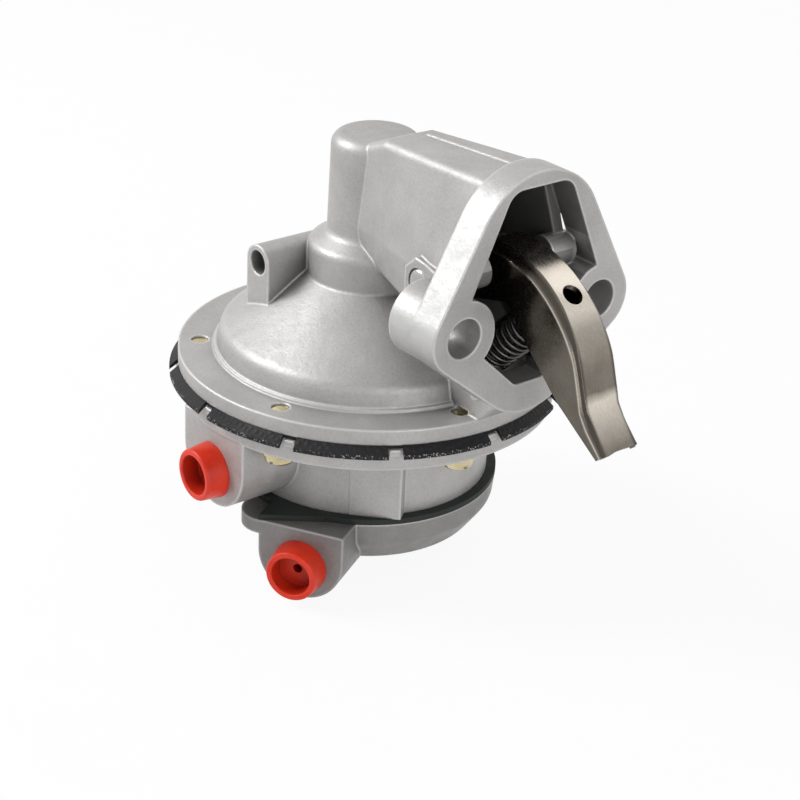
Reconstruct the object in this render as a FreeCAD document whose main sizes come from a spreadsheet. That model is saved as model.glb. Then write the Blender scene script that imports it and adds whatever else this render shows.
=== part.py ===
import FreeCAD, Part
import math
import os

import Sketcher

# Mechanical fuel pump, driven by a rocker arm and bolted to an engine block by a two-hole flange.
# Every sub-part is drawn about the pump axis: Z up the diaphragm rod, zero at the top face of the
# diaphragm rim, X towards the engine. The placement then moves all of them together, so that the
# origin lies in the mounting face, midway between the two bolts.

Vector = FreeCAD.Vector

# Driving dimensions, in millimetres and degrees
SIZES = {
    # Mounting flange
    "axis_to_face": 64.5,
    "bolt_line_up": 31.9,
    "bolt_spacing": 44.45,
    "bolt_hole_radius": 5.2,
    "ear_radius": 9.65,
    "ear_depth": 17.2,
    "flange_thickness": 9.0,
    "top_lobe_radius": 20.2,
    "top_lobe_rise": 18.4,
    "low_lobe_radius": 17.8,
    "low_lobe_drop": 7.55,
    "mouth_top_rim": 3.8,
    "mouth_foot_rim": 8.2,
    "mouth_round": 5.0,
    "mouth_top_half": 9.4,
    "mouth_corner_half": 20.6,
    "mouth_corner_up": 9.6,
    "mouth_low_half": 15.8,
    "mouth_low_down": 6.6,
    "mouth_foot_half": 4.5,
    # Upper housing, lower part
    "rim_radius": 52.2,
    "upper_rim_thickness": 4.2,
    "step_radius": 42.6,
    "step_height": 0.9,
    "dome_radius": 41.8,
    "dome_top_radius": 40.6,
    "dome_shoulder_up": 6.5,
    "dome_crown_up": 22.0,
    "dome_wall": 3.0,
    "dome_shoulder_fillet": 4.5,
    "dome_root_fillet": 0.6,
    "barrel_radius": 17.3,
    "barrel_top_up": 31.0,
    "barrel_fillet": 2.6,
    "column_foot_radius": 12.4,
    "column_foot_up": 34.4,
    "column_top_radius": 11.9,
    "column_top_up": 61.4,
    "column_fillet": 3.6,
    "column_bore_radius": 9.0,
    "column_roof": 3.5,
    # Rocker box
    "box_wall": 2.8,
    "box_start": 14.0,
    "box_bend": 36.0,
    "box_back_top_up": 64.6,
    "box_back_top_half": 9.0,
    "box_back_mid_half": 10.8,
    "box_back_floor_half": 9.8,
    "box_back_floor_up": 28.8,
    "box_bend_top_half": 10.3,
    "box_bend_mid_half": 15.4,
    "box_bend_floor_half": 14.2,
    "box_bend_floor_up": 25.6,
    "box_front_top_up": 67.4,
    "box_front_top_half": 11.2,
    "box_front_mid_half": 20.0,
    "box_front_floor_half": 11.4,
    "box_front_floor_up": 8.6,
    "box_mid_up": 38.5,
    "box_edge_round": 2.6,
    "box_side_round": 6.0,
    "neck_start": 3.0,
    "neck_top_up": 60.0,
    "neck_slim": 0.6,
    "seam_offset": 3.2,
    "seam_width": 0.8,
    "seam_height": 0.3,
    "web_half": 5.0,
    # Vent tube
    "vent_offset": 15.0,
    "vent_up": 25.0,
    "vent_reach": 27.0,
    "vent_radius": 4.9,
    "vent_hole_radius": 3.4,
    "vent_foot_up": 10.6,
    "vent_back": 3.0,
    "vent_hole_depth": 14.0,
    # Pivot pin
    "pin_x": 40.0,
    "pin_up": 36.5,
    "pin_radius": 3.8,
    "pin_pad_half": 17.1,
    "pin_boss_radius": 6.8,
    "pin_proud": 0.2,
    "pin_fit": 0.02,
    "running_fit": 0.05,
    "side_play": 0.4,
    # Stop bosses inside the mouth
    "mouth_boss_x": 55.0,
    "mouth_boss_up": 44.0,
    "mouth_boss_radius": 4.4,
    "mouth_boss_half": 10.0,
    # Rocker arm
    "arm_half_width": 6.6,
    "arm_thickness": 1.7,
    "arm_eye_radius": 7.6,
    "arm_back_radius": 32.1,
    "arm_back_turn": 72.3,
    "arm_back_start_x": 52.0,
    "arm_back_corner_x": 81.0,
    "arm_back_top_up": 50.0,
    "arm_bend_radius": 2.0,
    "arm_heel_x": 45.4,
    "arm_heel_up": 45.8,
    "arm_heel_round": 4.0,
    "arm_fold_round": 7.0,
    "arm_fold_x": 91.0,
    "arm_fold_up": 18.6,
    "arm_tip_x": 98.4,
    "arm_tip_up": 9.6,
    "arm_hole_radius": 2.7,
    "arm_hole_x": 76.9,
    "arm_hole_up": 42.4,
    "arm_hole_lean": 40.0,
    "pad_slit": 0.9,
    # Return spring
    "return_wire_radius": 0.6,
    "return_spring_radius": 4.9,
    "return_spring_turns": 8.0,
    "return_foot_x": 50.8,
    "return_foot_up": 17.6,
    "return_lean": 45.0,
    "return_length": 21.0,
    "spigot_radius": 4.0,
    "spigot_height": 2.6,
    # Link lever
    "link_eye_radius": 6.6,
    "link_knuckle_radius": 3.0,
    "link_beam_slim": 0.8,
    "link_fork_half": 6.2,
    "link_side_play": 0.4,
    "fork_gap": 0.4,
    # Diaphragm stack
    "diaphragm_thickness": 1.0,
    "diaphragm_overhang": 3.0,
    "diaphragm_droop": 2.0,
    "clamp_radius": 38.0,
    "sag": 2.0,
    "upper_plate_radius": 29.0,
    "lower_plate_radius": 26.5,
    "plate_thickness": 1.2,
    "plate_lip": 3.0,
    "rod_radius": 3.0,
    "rod_thread_radius": 2.5,
    "rod_collar_radius": 5.0,
    "rod_collar_height": 2.0,
    "rod_head_radius": 5.6,
    "rod_head_height": 2.8,
    "nut_radius": 5.4,
    "nut_height": 3.6,
    "seat_gap": 0.3,
    # Main spring and rod seal
    "spring_chamber_radius": 14.4,
    "chamber_top_up": 27.0,
    "main_wire_radius": 1.0,
    "main_spring_radius": 12.0,
    "main_spring_turns": 5.0,
    "seal_radius": 8.0,
    "seal_height": 4.4,
    "retainer_thickness": 1.1,
    "retainer_radius": 13.8,
    # Rim screws
    "screw_count": 6,
    "screw_circle_radius": 46.3,
    "screw_angle": -7.0,
    "screw_radius": 2.3,
    "screw_clearance": 0.1,
    "screw_head_radius": 4.2,
    "screw_head_height": 2.8,
    "screw_tip_proud": -0.5,
    "screw_slot_width": 1.1,
    "screw_slot_depth": 1.3,
    "washer_radius": 5.0,
    "washer_thickness": 0.9,
    "tab_count": 12,
    "notch_width": 3.8,
    "notch_depth": 2.6,
    # Valve body
    "lower_rim_radius": 51.6,
    "lower_rim_thickness": 6.6,
    "body_radius": 34.6,
    "body_bottom_down": 34.5,
    "body_fillet": 2.0,
    "bowl_radius": 31.0,
    "bowl_depth": 4.4,
    "nut_relief_radius": 7.6,
    "nut_relief_depth": 3.8,
    "valve_offset": 17.5,
    "valve_pocket_radius": 9.0,
    "gallery_floor_down": 30.5,
    "post_radius": 8.0,
    "lower_recess_radius": 28.0,
    "lower_recess_depth": 3.0,
    "prow_x": 35.0,
    "prow_y": -14.8,
    "facet_x": 24.9,
    "facet_y": -24.4,
    # Ports
    "outlet_angle": -90.0,
    "outlet_reach": 50.5,
    "outlet_boss_length": 35.5,
    "outlet_side": -1.0,
    "outlet_down": 24.4,
    "outlet_half": 13.6,
    "outlet_arc_down": 20.9,
    "inlet_angle": -60.0,
    "inlet_reach": 44.0,
    "inlet_boss_length": 26.0,
    "inlet_down": 47.3,
    "inlet_half": 12.2,
    "inlet_arc_down": 44.6,
    "port_thread_radius": 5.7,
    "port_depth": 13.0,
    # Pulsator diaphragm and bottom cover
    "pulsator_thickness": 1.6,
    "ear_corner_reach": 37.5,
    "ear_corner_side": 4.0,
    "cover_radius": 37.3,
    "cover_shoulder_down": 42.0,
    "cover_bottom_radius": 31.0,
    "cover_bottom_down": 50.0,
    "cover_fillet": 4.0,
    "cover_wall": 3.4,
    "cover_recess_radius": 10.0,
    "cover_recess_depth": 5.6,
    "lobe_x": 7.5,
    "lobe_y": -38.0,
    "lobe_radius": 7.5,
    "lobe_thickness": 4.0,
    "transfer_radius": 4.0,
    # Centre bolt
    "centre_bolt_radius": 3.0,
    "centre_bolt_reach": 13.0,
    "centre_head_radius": 5.8,
    "centre_head_height": 4.0,
    "centre_washer_radius": 7.4,
    "centre_washer_thickness": 1.4,
    # Check valves
    "valve_seat_height": 3.2,
    "valve_rim_thickness": 1.4,
    "valve_bore_radius": 5.0,
    "valve_disc_radius": 6.2,
    "valve_disc_thickness": 1.2,
    "valve_lift": 1.6,
    "valve_stem_radius": 1.0,
    "valve_spring_radius": 2.6,
    "valve_wire_radius": 0.25,
    "valve_spring_turns": 3.0,
    "cage_wall": 0.8,
    "valve_fit": 0.02,
    # Port plugs
    "plug_radius": 7.7,
    "plug_cap_length": 6.4,
    "plug_taper": 0.6,
    "plug_mouth_radius": 5.5,
    "plug_mouth_depth": 5.0,
    "plug_shank_length": 9.0,
    "plug_fit": 0.1,
    "plug_pinhole_radius": 1.3,
}


class Size:
    """A length or angle, held as a number and as the sheet formula that gives it."""

    def __init__(self, number, formula):
        self.number = float(number)
        self.formula = formula

    def __add__(self, other):
        other = as_size(other)
        return Size(self.number + other.number, "(%s + %s)" % (self.formula, other.formula))

    def __sub__(self, other):
        other = as_size(other)
        return Size(self.number - other.number, "(%s - %s)" % (self.formula, other.formula))

    def __mul__(self, other):
        other = as_size(other)
        return Size(self.number * other.number, "(%s * %s)" % (self.formula, other.formula))

    def __truediv__(self, other):
        other = as_size(other)
        return Size(self.number / other.number, "(%s / %s)" % (self.formula, other.formula))

    def __radd__(self, other):
        return as_size(other) + self

    def __rsub__(self, other):
        return as_size(other) - self

    def __rmul__(self, other):
        return as_size(other) * self

    def __neg__(self):
        return Size(-self.number, "(0 - %s)" % self.formula)


def as_size(value):
    """Take a Size as it is, and write a plain number as its own formula."""
    if isinstance(value, Size):
        return value
    return Size(value, "(%.9g)" % value)


def cosine(angle):
    """Cosine of an angle in degrees."""
    angle = as_size(angle)
    return Size(math.cos(math.radians(angle.number)), "cos(%s)" % angle.formula)


def sine(angle):
    """Sine of an angle in degrees."""
    angle = as_size(angle)
    return Size(math.sin(math.radians(angle.number)), "sin(%s)" % angle.formula)


def root(value):
    """Square root of a size."""
    value = as_size(value)
    return Size(math.sqrt(value.number), "sqrt(%s)" % value.formula)


doc = FreeCAD.newDocument("fuel_pump")
sheet = doc.addObject("Spreadsheet::Sheet", "Sizes")


def fill_sheet():
    """Write every driving dimension into the sheet under its own name."""
    for row, (name, value) in enumerate(SIZES.items(), start=1):
        sheet.set("A%d" % row, name)
        sheet.set("B%d" % row, str(value))
        sheet.setAlias("B%d" % row, name)
    doc.recompute()


def size(name):
    """The driving dimension of that name."""
    return Size(SIZES[name], "Sizes.%s" % name)


# Helpers: sub-parts and sketches

def new_body(label):
    """A sub-part, placed so that the mounting face holds the origin."""
    body = doc.addObject("PartDesign::Body", label)
    body.Label = label
    body.AllowCompound = True
    body.setExpression("Placement.Base.x", (-size("axis_to_face")).formula)
    body.setExpression("Placement.Base.z", (-size("bolt_line_up")).formula)
    return body


def origin_part(body, role):
    """One of the body's own origin planes or axes."""
    for feature in body.Origin.OriginFeatures:
        if feature.Role == role:
            return feature
    raise ValueError("no origin feature called " + role)


def sketch_on(body, name, role, offset=0):
    """A sketch on an origin plane, moved along the plane's normal."""
    offset = as_size(offset)
    sketch = body.newObject("Sketcher::SketchObject", name)
    sketch.AttachmentSupport = (origin_part(body, role), [""])
    sketch.MapMode = "FlatFace"
    sketch.AttachmentOffset = FreeCAD.Placement(Vector(0, 0, offset.number), FreeCAD.Rotation())
    if offset.number:
        sketch.setExpression("AttachmentOffset.Base.z", offset.formula)
    return sketch


def sketch_facing(body, name, angle, distance):
    """An upright sketch that looks outward at an angle round the pump axis."""
    sketch = body.newObject("Sketcher::SketchObject", name)
    sketch.AttachmentSupport = (origin_part(body, "XZ_Plane"), [""])
    sketch.MapMode = "FlatFace"
    side = distance * cosine(angle)
    forward = -(distance * sine(angle))
    turn = angle + 90
    rotation = FreeCAD.Rotation(Vector(0, 1, 0), turn.number)
    sketch.AttachmentOffset = FreeCAD.Placement(Vector(side.number, 0, forward.number), rotation)
    sketch.setExpression("AttachmentOffset.Base.x", side.formula)
    sketch.setExpression("AttachmentOffset.Base.z", forward.formula)
    sketch.setExpression("AttachmentOffset.Rotation.Angle", turn.formula)
    return sketch


def sketch_leaning(body, name, place_x, place_up, lean):
    """A sketch across an axis that leans from the vertical towards the engine."""
    place_x, place_up, lean = as_size(place_x), as_size(place_up), as_size(lean)
    sketch = body.newObject("Sketcher::SketchObject", name)
    sketch.AttachmentSupport = (origin_part(body, "XY_Plane"), [""])
    sketch.MapMode = "FlatFace"
    rotation = FreeCAD.Rotation(Vector(0, 1, 0), lean.number)
    sketch.AttachmentOffset = FreeCAD.Placement(Vector(place_x.number, 0, place_up.number), rotation)
    sketch.setExpression("AttachmentOffset.Base.x", place_x.formula)
    sketch.setExpression("AttachmentOffset.Base.z", place_up.formula)
    sketch.setExpression("AttachmentOffset.Rotation.Angle", lean.formula)
    return sketch


def pin_down(sketch, kind, geometry, point, value):
    """Hold one coordinate of a point to a size."""
    value = as_size(value)
    if abs(value.number) < 1e-9 and value.formula == "(0)":
        axis = -2 if kind == "DistanceX" else -1
        sketch.addConstraint(Sketcher.Constraint("PointOnObject", geometry, point, axis))
        return
    number = sketch.addConstraint(
        Sketcher.Constraint(kind, -1, 1, geometry, point, value.number))
    sketch.setExpression("Constraints[%d]" % number, value.formula)


def rounding(before, corner, after, radius):
    """Where a round of that radius leaves the two straight lines of a corner, and its centre."""
    come, go = (before - corner).normalize(), (after - corner).normalize()
    half_angle = come.getAngle(go) / 2
    along = radius / math.tan(half_angle)
    middle = (come + go).normalize()
    return corner + come * along, corner + go * along, corner + middle * (radius / math.sin(half_angle))


def draw_polygon(sketch, corners):
    """A closed outline of straight lines, each corner held by its coordinates.

    A corner with a third value is rounded by that radius, and a loose point marks the sharp corner.
    """
    count = len(corners)
    places = [Vector(as_size(corner[0]).number, as_size(corner[1]).number, 0) for corner in corners]
    starts, ends, rounds = list(places), list(places), {}
    for index, corner in enumerate(corners):
        if len(corner) == 3:
            leave, join, centre = rounding(places[index - 1], places[index], places[(index + 1) % count],
                                           as_size(corner[2]).number)
            ends[index], starts[index], rounds[index] = leave, join, centre
    first = sketch.GeometryCount
    for index in range(count):
        line = Part.LineSegment(starts[index], ends[(index + 1) % count])
        sketch.addGeometry(line, False)
    for index, corner in enumerate(corners):
        line_in, line_out = first + (index - 1) % count, first + index
        if index in rounds:
            join_round(sketch, line_in, line_out, rounds[index], as_size(corner[2]))
            mark = sketch.addGeometry(Part.Point(places[index]), True)
            pin_down(sketch, "DistanceX", mark, 1, corner[0])
            pin_down(sketch, "DistanceY", mark, 1, corner[1])
            sketch.addConstraint(Sketcher.Constraint("PointOnObject", mark, 1, line_in))
            sketch.addConstraint(Sketcher.Constraint("PointOnObject", mark, 1, line_out))
        else:
            sketch.addConstraint(Sketcher.Constraint("Coincident", line_in, 2, line_out, 1))
            pin_down(sketch, "DistanceX", line_out, 1, corner[0])
            pin_down(sketch, "DistanceY", line_out, 1, corner[1])


def join_round(sketch, line_in, line_out, centre, radius):
    """An arc tangent to the end of one line and to the start of the next."""
    leave = sketch.Geometry[line_in].EndPoint - centre
    join = sketch.Geometry[line_out].StartPoint - centre
    turns_left = leave.x * join.y - leave.y * join.x > 0
    begin, end = (leave, join) if turns_left else (join, leave)
    start_angle, end_angle = math.atan2(begin.y, begin.x), math.atan2(end.y, end.x)
    if end_angle < start_angle:
        end_angle += 2 * math.pi
    circle = Part.Circle(centre, Vector(0, 0, 1), radius.number)
    arc = sketch.addGeometry(Part.ArcOfCircle(circle, start_angle, end_angle), False)
    held = sketch.addConstraint(Sketcher.Constraint("Radius", arc, radius.number))
    sketch.setExpression("Constraints[%d]" % held, radius.formula)
    first_point, last_point = (1, 2) if turns_left else (2, 1)
    sketch.addConstraint(Sketcher.Constraint("Tangent", line_in, 2, arc, first_point))
    sketch.addConstraint(Sketcher.Constraint("Tangent", arc, last_point, line_out, 1))


def draw_circle(sketch, across, up, radius):
    """A circle held by its centre and radius."""
    across, up, radius = as_size(across), as_size(up), as_size(radius)
    centre = Vector(across.number, up.number, 0)
    number = sketch.addGeometry(Part.Circle(centre, Vector(0, 0, 1), radius.number), False)
    held = sketch.addConstraint(Sketcher.Constraint("Radius", number, radius.number))
    sketch.setExpression("Constraints[%d]" % held, radius.formula)
    pin_down(sketch, "DistanceX", number, 3, across)
    pin_down(sketch, "DistanceY", number, 3, up)


def draw_lobes(sketch, lobes):
    """A belt round several circles, given anticlockwise: arcs joined by tangent lines."""
    count = len(lobes)
    centres = [Vector(as_size(x).number, as_size(y).number, 0) for x, y, _ in lobes]
    radii = [as_size(radius) for _, _, radius in lobes]
    tangents = []
    for index in range(count):
        following = (index + 1) % count
        way = centres[following] - centres[index]
        spread = math.acos((radii[index].number - radii[following].number) / way.Length)
        outward = math.atan2(way.y, way.x) - spread
        tangents.append(outward)
    for index in range(count):
        start = tangents[index - 1]
        end = tangents[index]
        while end < start:
            end += 2 * math.pi
        circle = Part.Circle(centres[index], Vector(0, 0, 1), radii[index].number)
        sketch.addGeometry(Part.ArcOfCircle(circle, start, end), False)
    for index in range(count):
        following = (index + 1) % count
        away = Vector(math.cos(tangents[index]), math.sin(tangents[index]), 0)
        line = Part.LineSegment(centres[index] + away * radii[index].number,
                                centres[following] + away * radii[following].number)
        sketch.addGeometry(line, False)
    for index, (across, up, radius) in enumerate(lobes):
        held = sketch.addConstraint(Sketcher.Constraint("Radius", index, radii[index].number))
        sketch.setExpression("Constraints[%d]" % held, radii[index].formula)
        pin_down(sketch, "DistanceX", index, 3, across)
        pin_down(sketch, "DistanceY", index, 3, up)
    for index in range(count):
        following = (index + 1) % count
        line = count + index
        sketch.addConstraint(Sketcher.Constraint("Tangent", index, 2, line, 1))
        sketch.addConstraint(Sketcher.Constraint("Tangent", line, 2, following, 1))


def draw_tombstone(sketch, across, arc_up, half, top):
    """A port or vent outline: two upright sides and a half-round end."""
    across, arc_up, half, top = as_size(across), as_size(arc_up), as_size(half), as_size(top)
    left, right = across - half, across + half
    rounds_down = arc_up.number < top.number
    turn = math.pi if rounds_down else 0.0
    centre = Vector(across.number, arc_up.number, 0)
    circle = Part.Circle(centre, Vector(0, 0, 1), half.number)
    arc = sketch.addGeometry(Part.ArcOfCircle(circle, turn, turn + math.pi), False)
    sides = (left, right) if rounds_down else (right, left)
    corners = [(side.number, height.number)
               for side, height in ((sides[1], arc_up), (sides[1], top), (sides[0], top), (sides[0], arc_up))]
    lines = []
    for begin, end in zip(corners, corners[1:]):
        line = Part.LineSegment(Vector(begin[0], begin[1], 0), Vector(end[0], end[1], 0))
        lines.append(sketch.addGeometry(line, False))
    sketch.addConstraint(Sketcher.Constraint("Tangent", arc, 2, lines[0], 1))
    sketch.addConstraint(Sketcher.Constraint("Coincident", lines[0], 2, lines[1], 1))
    sketch.addConstraint(Sketcher.Constraint("Coincident", lines[1], 2, lines[2], 1))
    sketch.addConstraint(Sketcher.Constraint("Tangent", lines[2], 2, arc, 1))
    sketch.addConstraint(Sketcher.Constraint("Horizontal", lines[1]))
    sketch.addConstraint(Sketcher.Constraint("Vertical", lines[0]))
    held = sketch.addConstraint(Sketcher.Constraint("Radius", arc, half.number))
    sketch.setExpression("Constraints[%d]" % held, half.formula)
    pin_down(sketch, "DistanceX", arc, 3, across)
    pin_down(sketch, "DistanceY", arc, 3, arc_up)
    pin_down(sketch, "DistanceY", lines[1], 1, top)


# Helpers: features

def set_length(feature, name, value):
    """Set a length of a feature and bind it to the sheet."""
    value = as_size(value)
    setattr(feature, name, value.number)
    feature.setExpression(name, value.formula)


def pad(body, name, sketch, length, backwards=False, both_ways=False):
    """Raise a sketch along its normal, or against it."""
    feature = body.newObject("PartDesign::Pad", name)
    feature.Profile = sketch
    set_length(feature, "Length", length)
    feature.Reversed = backwards
    feature.Midplane = both_ways
    return feature


def pocket(body, name, sketch, length, backwards=False, both_ways=False):
    """Cut a sketch into the solid, against its normal unless turned round."""
    feature = body.newObject("PartDesign::Pocket", name)
    feature.Profile = sketch
    set_length(feature, "Length", length)
    feature.Reversed = backwards
    feature.Midplane = both_ways
    return feature


def revolve(body, name, sketch, cut=False):
    """Turn a sketch about its own upright axis, as a solid or as a groove."""
    kind = "PartDesign::Groove" if cut else "PartDesign::Revolution"
    feature = body.newObject(kind, name)
    feature.Profile = sketch
    feature.ReferenceAxis = (sketch, ["V_Axis"])
    feature.Angle = 360.0
    return feature


def turned(body, name, corners, cut=False):
    """Turn a profile of radius and height corners about the body's Z axis."""
    sketch = sketch_on(body, name + "_profile", "XZ_Plane")
    draw_polygon(sketch, corners)
    return revolve(body, name, sketch, cut)


def loft(body, name, sections, cut=False):
    """A ruled loft through sketches in order."""
    kind = "PartDesign::SubtractiveLoft" if cut else "PartDesign::AdditiveLoft"
    feature = body.newObject(kind, name)
    feature.Profile = sections[0]
    feature.Sections = [(section, [""]) for section in sections[1:]]
    feature.Ruled = True
    return feature


def polar(body, name, feature, count):
    """Repeat a feature evenly round the body's Z axis."""
    pattern = body.newObject("PartDesign::PolarPattern", name)
    pattern.Originals = [feature]
    pattern.Axis = (origin_part(body, "Z_Axis"), [""])
    pattern.Angle = 360.0
    pattern.Occurrences = int(count.number)
    pattern.setExpression("Occurrences", count.formula)
    body.Tip = pattern
    return pattern


def mirror(body, name, features):
    """Copy features to the other side of the pump's plane of symmetry."""
    copy = body.newObject("PartDesign::Mirrored", name)
    copy.Originals = features
    copy.MirrorPlane = (origin_part(body, "XZ_Plane"), [""])
    body.Tip = copy
    return copy


def ring_edges(feature, radius, height):
    """Names of the full circles of that radius and height on a turned solid."""
    radius, height = as_size(radius).number, as_size(height).number
    names = []
    for index, edge in enumerate(feature.Shape.Edges, start=1):
        curve = edge.Curve
        if not isinstance(curve, Part.Circle):
            continue
        if abs(curve.Radius - radius) < 1e-4 and abs(curve.Center.z - height) < 1e-4:
            names.append("Edge%d" % index)
    return names


def round_edges(body, name, feature, names, radius):
    """Fillet the named edges of a feature."""
    if not names:
        raise ValueError("no edges to round for " + name)
    fillet = body.newObject("PartDesign::Fillet", name)
    fillet.Base = (feature, names)
    set_length(fillet, "Radius", radius)
    return fillet


def coil(body, name, radius, wire_radius, start_up, height, turns):
    """A round wire wound about the body's Z axis."""
    radius, wire_radius, turns = as_size(radius), as_size(wire_radius), as_size(turns)
    height = as_size(height)
    sketch = sketch_on(body, name + "_wire", "XZ_Plane")
    draw_circle(sketch, radius, start_up, wire_radius)
    feature = body.newObject("PartDesign::AdditiveHelix", name)
    feature.Profile = sketch
    feature.ReferenceAxis = (sketch, ["V_Axis"])
    feature.Mode = "height-turns-angle"
    set_length(feature, "Height", height)
    feature.Turns = turns.number
    feature.setExpression("Turns", turns.formula)
    return feature


# Heights that several sub-parts share

def face_x():
    return size("axis_to_face")


def mouth_top_up():
    return size("bolt_line_up") + size("top_lobe_rise") + size("top_lobe_radius") - size("mouth_top_rim")


def mouth_foot_up():
    return size("bolt_line_up") - size("low_lobe_drop") - size("low_lobe_radius") + size("mouth_foot_rim")


def clamp_up():
    """Underside of the upper rim, which presses on the diaphragm."""
    return -size("upper_rim_thickness")


def diaphragm_reach():
    """How far the diaphragm's tabs stand out from the axis, past both rims."""
    return size("lower_rim_radius") + size("diaphragm_overhang")


def lower_rim_top_up():
    return clamp_up() - size("diaphragm_thickness")


def lower_rim_bottom_up():
    return lower_rim_top_up() - size("lower_rim_thickness")


def centre_up():
    """Top of the diaphragm at its centre, at the bottom of the stroke."""
    return clamp_up() - size("sag")


def plate_top_up():
    return centre_up() + size("plate_thickness")


def cover_top_up():
    return -size("body_bottom_down") - size("pulsator_thickness")


def bowl_floor_up():
    return lower_rim_top_up() - size("bowl_depth")


def arm_inner_half():
    return size("arm_half_width") - size("arm_thickness")


def round_axis(angle, reach, side):
    """A place seen from above, by its angle round the pump axis, its reach and its shift sideways."""
    return reach * cosine(angle) - side * sine(angle), reach * sine(angle) + side * cosine(angle)


def screw_holes(body, name, top_up, depth, radius):
    """Holes for the rim screws, cut downwards from a height."""
    sketch = sketch_on(body, name + "_circle", "XY_Plane", top_up)
    circle_radius = size("screw_circle_radius")
    draw_circle(sketch, circle_radius * cosine(size("screw_angle")),
                circle_radius * sine(size("screw_angle")), radius)
    hole = pocket(body, name, sketch, depth)
    return polar(body, name + "_ring", hole, size("screw_count"))


# Upper housing

def housing_turned_form(body):
    """Rim, dome, barrel and column, with the casting's rounded shoulders."""
    turned(body, "housing_form", [
        (0, clamp_up()),
        (size("rim_radius"), clamp_up()),
        (size("rim_radius"), 0),
        (size("step_radius"), 0),
        (size("step_radius"), size("step_height")),
        (size("dome_radius"), size("step_height")),
        (size("dome_top_radius"), size("dome_shoulder_up"), size("dome_shoulder_fillet")),
        (size("barrel_radius"), size("dome_crown_up"), size("dome_root_fillet")),
        (size("barrel_radius"), size("barrel_top_up"), size("barrel_fillet")),
        (size("column_foot_radius"), size("column_foot_up"), size("barrel_fillet")),
        (size("column_top_radius"), size("column_top_up"), size("column_fillet")),
        (0, size("column_top_up")),
    ])


def box_section(body, name, place_x, top_up, top_half, mid_half, floor_up, floor_half, inset=0):
    """A six-sided section of the rocker box, or of its hollow when inset by the wall."""
    sketch = sketch_on(body, name, "YZ_Plane", place_x)
    inset = as_size(inset)
    top_half, mid_half, floor_half = top_half - inset, mid_half - inset, floor_half - inset
    top_up, floor_up = top_up - inset, floor_up + inset
    mid_up = size("box_mid_up")
    edge = size("box_edge_round") - inset * 0.5
    side = size("box_side_round")
    draw_polygon(sketch, [
        (top_half, top_up, edge),
        (-top_half, top_up, edge),
        (-mid_half, mid_up, side),
        (-floor_half, floor_up, edge),
        (floor_half, floor_up, edge),
        (mid_half, mid_up, side),
    ])
    return sketch


def box_sections(body, prefix, start_x, end_x, inset=0):
    """The three sections of the box: at the column, at the bend in its floor and at the flange."""
    bend_top_up = box_top_up(size("box_bend"))
    back = box_section(body, prefix + "_back", start_x, size("box_back_top_up"), size("box_back_top_half"),
                       size("box_back_mid_half"), size("box_back_floor_up"), size("box_back_floor_half"), inset)
    bend = box_section(body, prefix + "_bend", size("box_bend"), bend_top_up, size("box_bend_top_half"),
                       size("box_bend_mid_half"), size("box_bend_floor_up"), size("box_bend_floor_half"), inset)
    bend_again = box_section(body, prefix + "_bend_front", size("box_bend"), bend_top_up,
                             size("box_bend_top_half"), size("box_bend_mid_half"),
                             size("box_bend_floor_up"), size("box_bend_floor_half"), inset)
    front = box_section(body, prefix + "_front", end_x, size("box_front_top_up"), size("box_front_top_half"),
                        size("box_front_mid_half"), size("box_front_floor_up"), size("box_front_floor_half"),
                        inset)
    return back, bend, bend_again, front


def housing_box(body):
    """Rocker box behind the flange, and the neck that joins it to the column."""
    slim = size("neck_slim")
    neck_front = box_section(body, "neck_front", size("box_start"), size("box_back_top_up"),
                             size("box_back_top_half"), size("box_back_mid_half"),
                             size("box_back_floor_up"), size("box_back_floor_half"))
    neck_back = box_section(body, "neck_back", size("neck_start"), size("neck_top_up"),
                            size("box_back_top_half") - slim, size("box_back_mid_half") - slim,
                            size("box_back_floor_up"), size("box_back_floor_half") - slim)
    loft(body, "neck", [neck_back, neck_front])
    flange_back_x = face_x() - size("flange_thickness")
    back, bend, bend_again, front = box_sections(body, "box", size("box_start"), flange_back_x + 1)
    loft(body, "box_rear", [back, bend])
    loft(body, "box_bell", [bend_again, front])
    housing_seam(body)


def box_top_up(place_x):
    """Height of the box's top, which rises evenly from the column to the flange."""
    rise = size("box_front_top_up") - size("box_back_top_up")
    run = face_x() - size("flange_thickness") + 1 - size("box_start")
    return size("box_back_top_up") + rise * (place_x - size("box_start")) / run


def housing_seam(body):
    """Low ridge along the box's top, where the two halves of the mould met."""
    start_x, end_x = size("box_start") + 1, face_x() - size("flange_thickness") + 1
    sunk = 1.5
    ridge = sketch_on(body, "seam_outline", "XZ_Plane", -(size("seam_offset") - size("seam_width") / 2))
    draw_polygon(ridge, [
        (start_x, box_top_up(start_x) - sunk),
        (end_x, box_top_up(end_x) - sunk),
        (end_x, box_top_up(end_x) + size("seam_height")),
        (start_x + 2, box_top_up(start_x + 2) + size("seam_height")),
    ])
    pad(body, "seam", ridge, size("seam_width"), backwards=True)


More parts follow.
